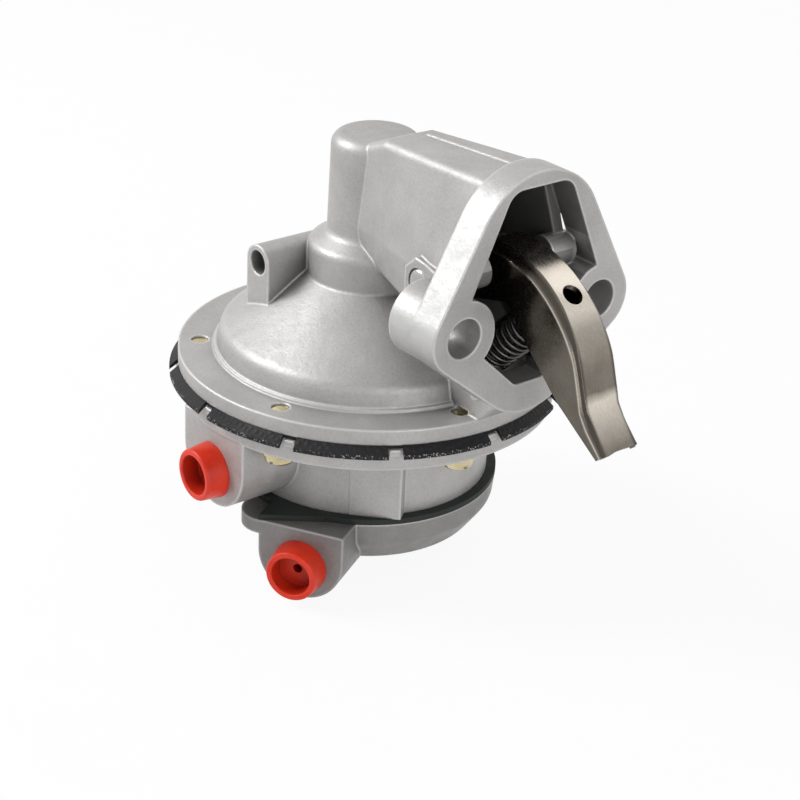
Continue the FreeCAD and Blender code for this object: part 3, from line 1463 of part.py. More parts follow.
# Check valves

def place_valve(body, side, seat_up, flipped):
    """Stand a valve piece in its pocket, the right way up or upside down."""
    body.setExpression("Placement.Base.x", (-face_x()).formula)
    body.setExpression("Placement.Base.y", (size("valve_offset") * side).formula)
    body.setExpression("Placement.Base.z", (seat_up - size("bolt_line_up")).formula)
    body.Placement.Rotation = FreeCAD.Rotation(Vector(1, 0, 0), 180.0 if flipped else 0.0)


def make_valve(name, side, flipped):
    """Seat, disc, spring and cage, drawn with the seat's face at zero and the disc above it."""
    pocket_radius = size("valve_pocket_radius") - size("valve_fit")
    stem, bore = size("valve_stem_radius"), size("valve_bore_radius")
    rim, height = size("valve_rim_thickness"), size("valve_seat_height")
    disc_t, lift = size("valve_disc_thickness"), size("valve_lift")
    cage_top = disc_t + lift + size("valve_wire_radius") * 4 + size("cage_wall") + 0.6
    seat_up = -size("body_bottom_down") + size("lower_recess_depth") + height + 3
    if flipped:
        seat_up = bowl_floor_up() - height - 1
    seat = new_body(name + "_valve_seat")
    turned(seat, "seat_form", [(0, -rim), (bore, -rim), (bore, -height), (pocket_radius, -height),
                               (pocket_radius, 0), (0, 0)])
    port = sketch_on(seat, "seat_port_circle", "XY_Plane")
    draw_circle(port, bore * 0.55, 0, bore * 0.22)
    one_port = pocket(seat, "seat_port", port, rim + 1)
    polar(seat, "seat_ports", one_port, as_size(5))
    disc = new_body(name + "_valve_disc")
    gap = size("running_fit")
    turned(disc, "disc_form", [(stem + gap, gap), (size("valve_disc_radius"), gap),
                               (size("valve_disc_radius"), disc_t), (stem + gap, disc_t)])
    spring = new_body(name + "_valve_spring")
    wire = size("valve_wire_radius")
    coil(spring, "valve_coil", size("valve_spring_radius"), wire, disc_t + wire + gap,
         cage_top - size("cage_wall") - disc_t - wire * 2 - gap * 2, size("valve_spring_turns"))
    cage = new_body(name + "_valve_cage")
    cage_wall = size("cage_wall")
    turned(cage, "cage_form", [
        (0, 0.1), (stem, 0.1), (stem, cage_top - cage_wall), (pocket_radius - cage_wall, cage_top - cage_wall),
        (pocket_radius - cage_wall, 0), (pocket_radius, 0), (pocket_radius, cage_top), (0, cage_top)])
    window = sketch_on(cage, "window_circle", "XY_Plane", cage_top)
    draw_circle(window, (pocket_radius + size("valve_spring_radius")) / 2 + 0.3, 0, 1.9)
    one_window = pocket(cage, "window", window, cage_wall + 0.3)
    polar(cage, "windows", one_window, as_size(6))
    for body in (seat, disc, spring, cage):
        place_valve(body, side, seat_up, flipped)


# Port plugs

def make_plug(name, angle, reach, side, down):
    """Plastic cap that closes a port until the hose fitting goes in."""
    body = new_body(name)
    cap, mouth = size("plug_radius"), size("plug_mouth_radius")
    length, shank = size("plug_cap_length"), size("port_thread_radius") - size("plug_fit")
    inner = -size("plug_shank_length")
    turned(body, "plug_form", [
        (0, inner), (shank - 0.6, inner), (shank, 0), (cap, 0), (cap - size("plug_taper"), length, 0.6),
        (mouth, length, 0.4), (mouth - 0.4, length - size("plug_mouth_depth")),
        (0, length - size("plug_mouth_depth"))])
    pinhole = sketch_on(body, "pinhole_circle", "XY_Plane", length)
    draw_circle(pinhole, 0, 0, size("plug_pinhole_radius"))
    pocket(body, "pinhole", pinhole, size("plug_mouth_depth") + 5)
    place_x = reach * cosine(angle) - side * sine(angle) - face_x()
    place_y = reach * sine(angle) + side * cosine(angle)
    body.setExpression("Placement.Base.x", place_x.formula)
    body.setExpression("Placement.Base.y", place_y.formula)
    body.setExpression("Placement.Base.z", (-(down + size("bolt_line_up"))).formula)
    body.Placement.Rotation = FreeCAD.Rotation(angle.number, 90.0, 0.0)


# Checks and export

def check_objects():
    """Stop if any object failed or any sub-part has no valid solid."""
    for item in doc.Objects:
        if "Invalid" in item.State or "Error" in item.State:
            raise RuntimeError("%s is %s" % (item.Name, item.State))
    for item in doc.Objects:
        if item.TypeId != "PartDesign::Body":
            continue
        shape = item.Shape
        if shape.isNull() or not shape.isValid() or not shape.Solids:
            raise RuntimeError("%s has no valid solid" % item.Label)


def export_parts():
    """Write each sub-part to its own file."""
    os.makedirs("parts", exist_ok=True)
    for item in doc.Objects:
        if item.TypeId == "PartDesign::Body":
            item.Shape.exportStep("parts/%s.step" % item.Label)


def main():
    """Build the whole pump and write it out."""
    fill_sheet()
    make_upper_housing()
    make_valve_body()
    make_diaphragm()
    make_plates()
    make_pull_rod()
    make_rod_nut()
    make_seal()
    make_main_spring()
    make_pivot_pin()
    make_rocker_arm()
    make_link_lever()
    make_return_spring()
    make_screws()
    make_centre_bolt()
    make_pulsator()
    make_bottom_cover()
    for name, side in valve_places():
        make_valve(name, side, flipped=(name == "outlet"))
    make_plug("outlet_plug", size("outlet_angle"), size("outlet_reach"), size("outlet_side"), size("outlet_down"))
    make_plug("inlet_plug", size("inlet_angle"), size("inlet_reach"), as_size(0), size("inlet_down"))
    doc.recompute()
    check_objects()
    export_parts()


main()
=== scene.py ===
import math

import bmesh
import bpy
from mathutils import Matrix, Vector
from mathutils.geometry import tessellate_polygon


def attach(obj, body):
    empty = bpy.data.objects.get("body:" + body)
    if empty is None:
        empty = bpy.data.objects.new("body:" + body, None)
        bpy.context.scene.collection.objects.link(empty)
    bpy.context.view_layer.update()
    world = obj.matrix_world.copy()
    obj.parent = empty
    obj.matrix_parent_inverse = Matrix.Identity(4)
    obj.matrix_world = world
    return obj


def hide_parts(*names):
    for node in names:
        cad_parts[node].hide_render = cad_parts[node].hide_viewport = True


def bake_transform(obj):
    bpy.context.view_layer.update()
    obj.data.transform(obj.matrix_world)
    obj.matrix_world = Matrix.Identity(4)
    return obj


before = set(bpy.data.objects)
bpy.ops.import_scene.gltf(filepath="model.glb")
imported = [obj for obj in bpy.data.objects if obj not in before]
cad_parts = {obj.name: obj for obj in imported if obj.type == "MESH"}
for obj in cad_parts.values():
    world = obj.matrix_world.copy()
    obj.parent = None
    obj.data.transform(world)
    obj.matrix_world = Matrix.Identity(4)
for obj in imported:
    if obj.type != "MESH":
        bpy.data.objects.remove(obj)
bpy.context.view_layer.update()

MM_PER_METRE = 1000

# The photograph's camera, found from the flange's bolt holes and the rims. Angles are in degrees and places
# in millimetres from the pump's axis. The focal length is in pixels of a picture FRAME_PIXELS wide
CAMERA_YAW = 50.2315
CAMERA_PITCH = 26.3847
CAMERA_ROLL = 2.7548
CAMERA_DISTANCE = 552.914
CAMERA_ACROSS = 8.700
CAMERA_ALONG = -15.509
FOCAL_PIXELS = 2006.895
FRAME_PIXELS = 800
# The sensor in millimetres, and the nearest and farthest that the camera sees, in metres
SENSOR_WIDTH = 36.0
CLIP_START = 0.01
CLIP_END = 20.0

# Where the pump's axis meets the top face of the diaphragm's rim, and the floor's height, in metres
PUMP_X = -0.0645
PUMP_UP = -0.0319
FLOOR_UP = -0.0889
FLOOR_REACH = 4.0

# The mounting flange, in metres: how far its bright sides reach back from its face, and where the ears over
# its bosses start beside the rocker box and end behind the face
FLANGE_DEPTH = 0.0091
EAR_START = 0.0192
EAR_DEPTH = 0.020
# The depth over which the brightness of the flange's sides is given
TRIM_RANGE = 0.01

# The middle of the mouth, from which outer sides and the cavity's walls are told apart
MOUTH_MIDDLE = (0.0, 0.0, 0.009)

# The cavity behind the mouth, in metres: half its width, its depth, the height of its foot, and how far its
# walls stand from the middle of the mouth at the least
CAVITY_HALF = 0.0168
CAVITY_DEPTH = 0.030
CAVITY_FOOT = -0.0165
CAVITY_WALL = 0.004
# The colour of the painted shade on the cavity's walls
CAVITY_SHADE_COLOUR = (0.07, 0.068, 0.065)

# The radius, in metres, from which the cut edge of the diaphragm's fabric shows, and the threads' colour
CUT_EDGE_RADIUS = 0.0544
THREAD_COLOUR = (0.42, 0.42, 0.41)

# How far edges are softened, in metres
CAST_EDGE = 0.0009
SMALL_EDGE = 0.0003
PLASTIC_EDGE = 0.0004
# How high the finest grain stands, in metres
CAST_RELIEF = 0.00012
METAL_RELIEF = 0.00004
RUBBER_RELIEF = 0.00015
PLASTIC_RELIEF = 0.00006
# Samples of each bevel and ambient occlusion node
NODE_SAMPLES = 6

# The rocker arm in millimetres from the pump's axis: corners are (x, up) or (x, up, round)
ARM_BACK = [(45.4, 45.8), (52.0, 50.0, 4.0), (81.0, 50.0, 32.1), (91.0, 18.6, 3.6), (98.4, 9.6)]
ARM_EDGE = [(96.7, 8.3), (81.6, 18.0), (69.96, 28.14), (61.34, 36.76), (47.6, 33.1),
            (43.4, 29.3, 4.0), (33.0, 29.7, 5.0), (32.8, 43.3, 5.0), (44.9, 44.0)]
ARM_SEAT = [(69.96, 28.14), (61.34, 36.76), (62.54, 37.96), (71.16, 29.34)]
ARM_HALF = 6.6
ARM_WALL = 1.7
# How far the spring's seat runs into the side plates
SEAT_SINK = 0.3
# The pivot bore, and the hole through the arm's back with its lean in degrees
ARM_PIN = (40.0, 36.5)
ARM_BORE = 3.85
BORE_CUTTER_LENGTH = 30
ARM_HOLE = (76.9, 42.4)
ARM_HOLE_LEAN = 40.0
ARM_HOLE_RADIUS = 2.7
HOLE_CUTTER_LENGTH = 14

# The hollow shoulder between the arm's side and its back: in from the side and down from the back, as shares
# of the shoulder's width
SHOULDER = [(0.0, 1.0), (0.03, 0.78), (0.16, 0.62), (0.46, 0.46), (0.62, 0.16), (0.78, 0.03), (1.0, 0.0)]
# The shoulder's width in millimetres, at shares of the length from heel to tip
SHOULDER_WIDTHS = [(0.0, 2.2), (0.3, 2.9), (0.5, 2.7), (0.68, 1.6), (0.82, 1.7), (0.9, 2.2), (1.0, 1.2)]
# How far the worn end of the pad reaches past ARM_BACK in millimetres, from the near side to the far one
PAD_END = [-0.2, 0.0, -0.1, -0.6, -0.5, -0.6, -0.4, -0.5, -0.6]

# The longest step along the arm's back in millimetres, and the turn between points of an arc in degrees
PATH_STEP = 1.5
ARC_STEP = 4
ROD_SEGMENTS = 48

# The height of the arm's crown, its fall from there to the tip, and how far its heel lies behind the
# flange's face, in metres
ARM_TOP = 0.0181
ARM_FALL = 0.041
ARM_INSIDE = 0.022
# How much of the bright colour the arm's back takes, at shares of that fall: painted highlights and painted
# shade along the back, partly wear on the pad
ARM_SHEEN_AND_WEAR = [(0.04, 0.15), (0.13, 0.65), (0.28, 0.90), (0.38, 0.35), (0.55, 0.08), (0.71, 0.0),
            (0.765, 1.0), (0.83, 0.75), (1.0, 0.08)]

# The lamps: name, place and side in metres, and power in watts
LAMPS = [
    ("key_lamp", (-0.66, -0.58, 0.62), 0.5, 9.5),
    ("fill_lamp", (0.90, -0.15, 0.22), 0.6, 3.2),
    ("back_lamp", (-0.10, 0.60, 0.75), 0.6, 1.0),
]
LAMP_TARGET = (-0.05, 0.0, -0.02)

WHITE = (1.0, 1.0, 1.0)
SKY_COLOUR = (0.40, 0.40, 0.41)
# The share of plain white in the floor, as the camera sees it
FLOOR_GLOW = 0.92

SMOOTH_ANGLE = math.radians(28)


def at(x, y, z):
    """A place given from the pump's axis in millimetres, as a place in the frame."""
    return Vector((PUMP_X + x / MM_PER_METRE, y / MM_PER_METRE, PUMP_UP + z / MM_PER_METRE))


def leaning(angle):
    """The upward direction that leans toward the mouth by an angle in degrees."""
    lean = math.radians(angle)
    return Vector((math.sin(lean), 0, math.cos(lean)))


def add_object(name, data):
    """A new object in the scene."""
    item = bpy.data.objects.new(name, data)
    bpy.context.scene.collection.objects.link(item)
    return item


def mesh_of(shape, name):
    """A mesh of a bmesh's shape, which is freed."""
    mesh = bpy.data.meshes.new(name)
    shape.to_mesh(mesh)
    shape.free()
    return mesh


def smooth(mesh):
    """Smooth shading, apart from the sharp edges."""
    for polygon in mesh.polygons:
        polygon.use_smooth = True
    mesh.set_sharp_from_angle(angle=SMOOTH_ANGLE)


def shaded(colour, share):
    """A colour with a share of its light."""
    return tuple(value * share for value in colour)


# Node materials

class Nodes:
    """A node tree that is put together call by call."""

    def __init__(self, tree):
        self.tree = tree

    def node(self, kind, **values):
        node = self.tree.nodes.new(kind)
        for name, value in values.items():
            setattr(node, name, value)
        return node

    def link(self, source, target):
        self.tree.links.new(source, target)

    def feed(self, socket, value):
        """Link a socket to another node's, or set it to a number, vector or colour."""
        if isinstance(value, bpy.types.NodeSocket):
            self.link(value, socket)
        elif socket.type == "RGBA":
            socket.default_value = (*value, 1.0)
        else:
            socket.default_value = value

    def maths(self, operation, first, second=0.0, third=0.0):
        node = self.node("ShaderNodeMath", operation=operation)
        for socket, value in zip(node.inputs, (first, second, third)):
            self.feed(socket, value)
        return node.outputs[0]

    def product(self, first, *others):
        """All the factors multiplied together."""
        for other in others:
            first = self.maths("MULTIPLY", first, other)
        return first

    def mix(self, factor, first, second, blend="MIX"):
        """One colour over another."""
        node = self.node("ShaderNodeMix", data_type="RGBA", blend_type=blend)
        self.feed(node.inputs[0], factor)
        self.feed(node.inputs[6], first)
        self.feed(node.inputs[7], second)
        return node.outputs[2]

    def seen(self):
        """One for what the camera, metal and glass see, and zero for the light on other things."""
        rays = self.node("ShaderNodeLightPath").outputs
        seen = self.maths("MAXIMUM", rays["Is Camera Ray"], rays["Is Glossy Ray"])
        return self.maths("MAXIMUM", seen, rays["Is Transmission Ray"])


class Shader(Nodes):
    """A node material on the object's own coordinates."""

    def __init__(self, name):
        self.material = bpy.data.materials.new(name)
        self.material.use_nodes = True
        super().__init__(self.material.node_tree)
        self.surface = self.tree.nodes["Principled BSDF"]
        self.place = self.node("ShaderNodeTexCoord").outputs["Object"]

    def set(self, **values):
        """Set the surface's sockets: names with underscores for spaces."""
        for name, value in values.items():
            self.feed(self.surface.inputs[name.replace("_", " ")], value)

    def normal(self):
        return self.node("ShaderNodeNewGeometry").outputs["Normal"]

    def vectors(self, operation, *values):
        """The outputs of some vector maths."""
        node = self.node("ShaderNodeVectorMath", operation=operation)
        for socket, value in zip(node.inputs, values):
            self.feed(socket, value)
        return node.outputs

    def split(self, vector):
        """The X, Y and Z of a vector."""
        node = self.node("ShaderNodeSeparateXYZ")
        self.link(vector, node.inputs[0])
        return node.outputs

    def noise(self, scale, detail, roughness=0.55, stretch=None):
        """Noise at so many waves a metre, maybe stretched along an axis."""
        node = self.node("ShaderNodeTexNoise")
        node.inputs["Scale"].default_value = scale
        node.inputs["Detail"].default_value = detail
        node.inputs["Roughness"].default_value = roughness
        self.link(self.stretched(stretch), node.inputs["Vector"])
        return node.outputs["Fac"]

    def stretched(self, stretch):
        if stretch is None:
            return self.place
        node = self.node("ShaderNodeMapping")
        node.inputs["Scale"].default_value = stretch
        self.link(self.place, node.inputs["Vector"])
        return node.outputs["Vector"]

    def cells(self, scale, randomness=1.0):
        """Distance to the nearest of scattered points."""
        node = self.node("ShaderNodeTexVoronoi")
        node.inputs["Scale"].default_value = scale
        node.inputs["Randomness"].default_value = randomness
        self.link(self.place, node.inputs["Vector"])
        return node.outputs["Distance"]

    def ramp(self, factor, stops):
        """Colours or greys by position; a stop is (position, grey) or (position, (r, g, b))."""
        node = self.node("ShaderNodeValToRGB")
        elements = node.color_ramp.elements
        while len(elements) < len(stops):
            elements.new(0.5)
        for element, (position, value) in zip(elements, stops):
            element.position = position
            colour = value if isinstance(value, tuple) else (value, value, value)
            element.color = (*colour, 1.0)
        self.link(factor, node.inputs["Fac"])
        return node.outputs["Color"]

    def patches(self, scale, first, second, start=0.3, end=0.7):
        """Two colours in soft patches."""
        cloud = self.noise(scale, detail=3.0)
        return self.mix(self.ramp(cloud, [(start, 0.0), (end, 1.0)]), first, second)

    def soft_normal(self, radius):
        """The normals that softened edges would have."""
        bevel = self.node("ShaderNodeBevel", samples=NODE_SAMPLES)
        bevel.inputs["Radius"].default_value = radius
        return bevel.outputs["Normal"]

    def bump(self, height, relief, strength, edge_radius):
        """Bump from a height, over edges that are softened by a radius."""
        node = self.node("ShaderNodeBump")
        node.inputs["Strength"].default_value = strength
        node.inputs["Distance"].default_value = relief
        self.link(height, node.inputs["Height"])
        self.link(self.soft_normal(edge_radius), node.inputs["Normal"])
        self.link(node.outputs["Normal"], self.surface.inputs["Normal"])

    def edge_mask(self, radius, low, high):
        """White along sharp edges, where a softened edge would have other normals."""
        alike = self.vectors("DOT_PRODUCT", self.soft_normal(radius), self.normal())["Value"]
        return self.ramp(alike, [(low, 1.0), (high, 0.0)])

    def crevice_mask(self, reach, low, high):
        """White where the walls around a spot shut the light out."""
        shut = self.node("ShaderNodeAmbientOcclusion", samples=NODE_SAMPLES, only_local=True)
        shut.inputs["Distance"].default_value = reach
        return self.ramp(shut.outputs["AO"], [(low, 1.0), (high, 0.0)])

    def glow_white(self, share):
        """Mix in plain white, but only as the camera, metal and glass see it."""
        white = self.node("ShaderNodeEmission")
        mix = self.node("ShaderNodeMixShader")
        self.link(self.product(self.seen(), share), mix.inputs["Fac"])
        self.link(self.surface.outputs["BSDF"], mix.inputs[1])
        self.link(white.outputs["Emission"], mix.inputs[2])
        self.link(mix.outputs["Shader"], self.tree.nodes["Material Output"].inputs["Surface"])


def out_of_mouth(shader):
    """How far a surface faces away from the middle of the mouth, below zero where it faces it."""
    outward = shader.vectors("SUBTRACT", shader.place, MOUTH_MIDDLE)["Vector"]
    return shader.vectors("DOT_PRODUCT", outward, shader.normal())["Value"]


def trimmed_side(shader):
    """White on the outer sides of the mounting flange, which are ground bright."""
    place = shader.split(shader.place)
    lean = shader.split(shader.normal())
    back = FLANGE_DEPTH / TRIM_RANGE
    plate = shader.ramp(shader.product(place["X"], -1 / TRIM_RANGE),
                        [(0.0, 0.75), (0.3, 1.0), (back - 0.03, 1.0), (back, 0.0)])
    beside_box = shader.maths("GREATER_THAN", shader.maths("ABSOLUTE", place["Y"]), EAR_START)
    over_boss = shader.maths("GREATER_THAN", place["X"], -EAR_DEPTH)
    trimmed = shader.maths("MAXIMUM", plate, shader.product(beside_box, over_boss, 0.9))
    side_on = shader.maths("LESS_THAN", shader.maths("ABSOLUTE", lean["X"]), 0.5)
    outside = shader.maths("GREATER_THAN", out_of_mouth(shader), 0.0)
    upward = shader.ramp(shader.maths("MULTIPLY_ADD", lean["Z"], 0.5, 0.5),
                         [(0.15, 0.0), (0.45, 0.6), (0.55, 1.0), (0.78, 0.9), (0.92, 0.1)])
    scuffed = shader.ramp(shader.noise(260.0, detail=3.0), [(0.30, 0.55), (0.46, 1.0)])
    return shader.product(trimmed, side_on, outside, upward, scuffed)


def cavity_shade(shader):
    """Painted shade: white on the walls of the cavity behind the mouth, the more the deeper they lie."""
    place = shader.split(shader.place)
    depth = shader.product(place["X"], -1 / CAVITY_DEPTH)
    inward = shader.maths("LESS_THAN", out_of_mouth(shader), -CAVITY_WALL)
    between_walls = shader.maths("LESS_THAN", shader.maths("ABSOLUTE", place["Y"]), CAVITY_HALF)
    within_depth = shader.maths("LESS_THAN", depth, 1.0)
    above_foot = shader.maths("GREATER_THAN", place["Z"], CAVITY_FOOT)
    shade = shader.ramp(depth, [(0.0, 0.35), (0.3, 0.75), (1.0, 0.95)])
    return shader.product(inward, between_walls, within_depth, above_foot, shade)


def cast_alloy(name, light, dark, edge, trimmed=None):
    """Sand-blasted cast aluminium: fine grain, cloudy patches, pits, painted shade in crevices and holes,
    and bright edges that are partly painted highlight and partly wear.
    """
    shader = Shader(name)
    base = shader.patches(55.0, dark, light, start=0.32, end=0.68)
    grain = shader.noise(1500.0, detail=3.0, roughness=0.7)
    speck = shader.ramp(grain, [(0.30, 0.84), (0.52, 1.0), (0.74, 1.08)])
    base = shader.mix(0.75, base, speck, "MULTIPLY")
    pits = shader.ramp(shader.cells(420.0), [(0.035, 0.55), (0.085, 1.0)])
    base = shader.mix(0.5, base, pits, "MULTIPLY")
    # Painted shade: the colour darkens where the walls around shut the light out, in crevices and holes
    painted_crevice_shade = shader.crevice_mask(reach=0.009, low=0.30, high=0.80)
    base = shader.mix(shader.product(painted_crevice_shade, 0.75), base, shaded(dark, 0.3))
    # Bright edges: partly a painted highlight along them, partly wear
    rim = shader.edge_mask(CAST_EDGE * 1.2, low=0.93, high=0.995)
    base = shader.mix(shader.product(rim, 0.75), base, edge)
    if trimmed:
        base = shader.mix(shader.product(trimmed_side(shader), 0.9), base, trimmed)
        # Painted shade on the walls of the cavity behind the mouth
        base = shader.mix(cavity_shade(shader), base, CAVITY_SHADE_COLOUR)
    rough = shader.ramp(shader.noise(300.0, detail=2.0), [(0.3, 0.39), (0.7, 0.55)])
    shader.set(Base_Color=base, Metallic=0.45, Roughness=rough, Specular_IOR_Level=0.4)
    dents = shader.noise(420.0, detail=3.0)
    height = shader.maths("ADD", grain, shader.product(dents, 1.2))
    height = shader.maths("ADD", height, shader.product(pits, 0.5))
    shader.bump(height, CAST_RELIEF, strength=0.55, edge_radius=CAST_EDGE)
    return shader.material


def bare_metal(name, light, dark, roughness, grain_scale=900.0):
    """Drawn, ground or stamped metal with a fine grain."""
    shader = Shader(name)
    base = shader.patches(120.0, dark, light)
    grain = shader.noise(grain_scale, detail=3.0, roughness=0.6)
    base = shader.mix(0.5, base, shader.ramp(grain, [(0.3, 0.78), (0.7, 1.12)]), "MULTIPLY")
    rough = shader.ramp(grain, [(0.3, roughness - 0.08), (0.7, roughness + 0.08)])
    shader.set(Base_Color=base, Metallic=1.0, Roughness=rough)
    shader.bump(grain, METAL_RELIEF, strength=0.6, edge_radius=SMALL_EDGE)
    return shader.material


def steel_with_painted_sheen(name, light, dark, sheen_and_wear):
    """Stamped steel: painted shade toward the heel and in the shoulders' hollows, painted highlights along
    the back and on the shoulders' beads with some wear on the pad, and darker side plates.
    """
    shader = Shader(name)
    base = shader.patches(130.0, dark, light)
    place = shader.split(shader.place)
    sideways = shader.maths("ABSOLUTE", shader.split(shader.normal())["Y"])
    fall = shader.maths("MULTIPLY_ADD", place["Z"], -1 / ARM_FALL, ARM_TOP / ARM_FALL)
    fall = shader.maths("ADD", fall, shader.product(shader.noise(90.0, detail=2.0), 0.08))
    on_back = shader.maths("LESS_THAN", sideways, 0.35)
    # Painted highlights and painted shade in bands along the back, partly wear on the pad
    base = shader.mix(shader.product(shader.ramp(fall, ARM_SHEEN_AND_WEAR), on_back), base, sheen_and_wear)
    on_side = shader.maths("GREATER_THAN", sideways, 0.8)
    base = shader.mix(shader.product(on_side, 0.5), base, shaded(dark, 0.8))
    across = shader.product(shader.maths("ABSOLUTE", place["Y"]), MM_PER_METRE / ARM_HALF)
    # Painted shade in the hollow of each shoulder
    painted_hollow_shade = shader.ramp(across, [(0.66, 0.0), (0.78, 0.85), (0.88, 0.85), (0.955, 0.0)])
    base = shader.mix(painted_hollow_shade, base, shaded(dark, 0.45))
    # Painted highlight along the bead at each shoulder's edge
    painted_bead_highlight = shader.ramp(across, [(0.955, 0.0), (0.985, 0.9), (0.998, 0.0)])
    base = shader.mix(painted_bead_highlight, base, sheen_and_wear)
    # Painted shade toward the heel, inside the mouth
    painted_mouth_shade = shader.ramp(shader.product(place["X"], -1 / ARM_INSIDE), [(0.0, 0.0), (0.35, 0.4), (1.0, 0.7)])
    base = shader.mix(painted_mouth_shade, base, shaded(dark, 0.7))
    grain = shader.noise(700.0, detail=3.0, roughness=0.6, stretch=(1.0, 3.0, 1.0))
    base = shader.mix(0.5, base, shader.ramp(grain, [(0.3, 0.82), (0.7, 1.1)]), "MULTIPLY")
    shader.set(Base_Color=base, Metallic=1.0, Roughness=shader.ramp(grain, [(0.3, 0.20), (0.7, 0.31)]))
    shader.bump(grain, METAL_RELIEF, strength=0.6, edge_radius=SMALL_EDGE)
    return shader.material


def frayed_edge(shader):
    """White on the cut thread ends, in dots along the diaphragm's outer edge."""
    from_axis = shader.vectors("MULTIPLY_ADD", shader.place, (1.0, 1.0, 0.0), (-PUMP_X, 0.0, 0.0))["Vector"]
    radius = shader.vectors("LENGTH", from_axis)["Value"]
    outer = shader.maths("GREATER_THAN", radius, CUT_EDGE_RADIUS)
    dots = shader.ramp(shader.cells(1500.0), [(0.22, 0.9), (0.36, 0.0)])
    patchy = shader.ramp(shader.noise(110.0, detail=2.0), [(0.40, 0.15), (0.60, 1.0)])
    return shader.product(outer, dots, patchy)


def rubber(name, colour, weave_scale=0.0):
    """Matt black rubber with a dusty bloom, over a weave where one is asked for."""
    shader = Shader(name)
    cloud = shader.noise(90.0, detail=4.0)
    dust = tuple(value * 2.2 + 0.007 for value in colour)
    base = shader.mix(shader.ramp(cloud, [(0.35, 0.0), (0.75, 0.6)]), colour, dust)
    height = shader.noise(1400.0, detail=2.0)
    if weave_scale:
        threads = shader.ramp(shader.cells(weave_scale, randomness=0.35), [(0.15, 1.0), (0.55, 0.0)])
        base = shader.mix(shader.product(threads, 0.35), base, dust)
        base = shader.mix(frayed_edge(shader), base, THREAD_COLOUR)
        height = shader.maths("ADD", height, shader.product(threads, 2.0))
    rough = shader.ramp(cloud, [(0.3, 0.55), (0.7, 0.78)])
    shader.set(Base_Color=base, Metallic=0.0, Roughness=rough, Specular_IOR_Level=0.28)
    shader.bump(height, RUBBER_RELIEF, strength=0.6, edge_radius=SMALL_EDGE)
    return shader.material


def plastic(name, colour, shade):
    """Soft moulded plastic that lets a little light in, with painted shade in its hollows."""
    shader = Shader(name)
    base = shader.patches(160.0, shade, colour)
    # Painted shade: darker where the walls around shut the light out, as inside the plug's cup
    painted_plug_shade = shader.crevice_mask(reach=0.012, low=0.15, high=0.75)
    base = shader.mix(shader.product(painted_plug_shade, 0.7), base, shaded(shade, 0.35))
    rough = shader.ramp(shader.noise(500.0, detail=2.0), [(0.3, 0.32), (0.7, 0.46)])
    shader.set(Base_Color=base, Metallic=0.0, Roughness=rough, Specular_IOR_Level=0.35,
               Subsurface_Weight=0.12, Subsurface_Scale=0.002, Subsurface_Radius=(1.0, 0.25, 0.1))
    shader.bump(shader.noise(700.0, detail=2.0), PLASTIC_RELIEF, strength=0.5, edge_radius=PLASTIC_EDGE)
    return shader.material


def make_materials():
    """Every material, by a short name."""
    return {
        "housing": cast_alloy("cast_housing", (0.46, 0.45, 0.44), (0.37, 0.362, 0.355), (0.72, 0.715, 0.70),
                              trimmed=(0.50, 0.50, 0.495)),
        "body": cast_alloy("cast_body", (0.46, 0.451, 0.44), (0.37, 0.362, 0.353), (0.68, 0.67, 0.66)),
        # The cover's colours are darker than the body's: painted shade
        "cover": cast_alloy("cast_cover_painted_shade", (0.26, 0.255, 0.249), (0.20, 0.196, 0.191), (0.50, 0.494, 0.48)),
        "diaphragm": rubber("diaphragm_fabric", (0.006, 0.006, 0.007), weave_scale=620.0),
        "pulsator": rubber("pulsator_rubber", (0.014, 0.018, 0.016)),
        "seal": rubber("seal_rubber", (0.012, 0.012, 0.013)),
        "arm": steel_with_painted_sheen("arm_steel", (0.21, 0.188, 0.160), (0.14, 0.124, 0.104), (0.66, 0.605, 0.53)),
        "link": bare_metal("link_steel", (0.34, 0.33, 0.315), (0.22, 0.21, 0.20), 0.42),
        "pin": bare_metal("pin_steel", (0.62, 0.61, 0.59), (0.42, 0.41, 0.40), 0.26),
        "spring": bare_metal("spring_steel", (0.15, 0.146, 0.14), (0.08, 0.078, 0.075), 0.30),
        "plate": bare_metal("plate_steel", (0.60, 0.59, 0.57), (0.46, 0.45, 0.43), 0.34),
        "zinc": bare_metal("yellow_zinc", (0.74, 0.67, 0.46), (0.50, 0.42, 0.24), 0.20, grain_scale=700.0),
        "bolt": bare_metal("zinc_bolt", (0.66, 0.65, 0.62), (0.50, 0.49, 0.47), 0.32),
        "copper": bare_metal("copper_washer", (0.76, 0.46, 0.30), (0.58, 0.33, 0.21), 0.34),
        "brass": bare_metal("valve_brass", (0.78, 0.62, 0.30), (0.60, 0.46, 0.20), 0.32),
        "plug": plastic("plug_plastic", (0.74, 0.038, 0.010), (0.58, 0.022, 0.006)),
    }


NODE_MATERIALS = {
    "upper_housing": "housing",
    "valve_body": "body",
    "bottom_cover": "cover",
    "diaphragm": "diaphragm",
    "pulsator_diaphragm": "pulsator",
    "upper_plate": "plate",
    "lower_plate": "plate",
    "pull_rod": "bolt",
    "rod_nut": "bolt",
    "main_spring": "spring",
    "rod_seal": "seal",
    "seal_retainer": "plate",
    "rocker_arm": "arm",
    "link_lever": "link",
    "pivot_pin": "pin",
    "return_spring": "spring",
    "rim_screws": "zinc",
    "rim_washers": "zinc",
    "cover_bolt": "bolt",
    "cover_bolt_washer": "copper",
    "outlet_valve_seat": "brass",
    "outlet_valve_disc": "seal",
    "outlet_valve_spring": "bolt",
    "outlet_valve_cage": "brass",
    "inlet_valve_seat": "brass",
    "inlet_valve_disc": "seal",
    "inlet_valve_spring": "bolt",
    "inlet_valve_cage": "brass",
    "outlet_plug": "plug",
    "inlet_plug": "plug",
}


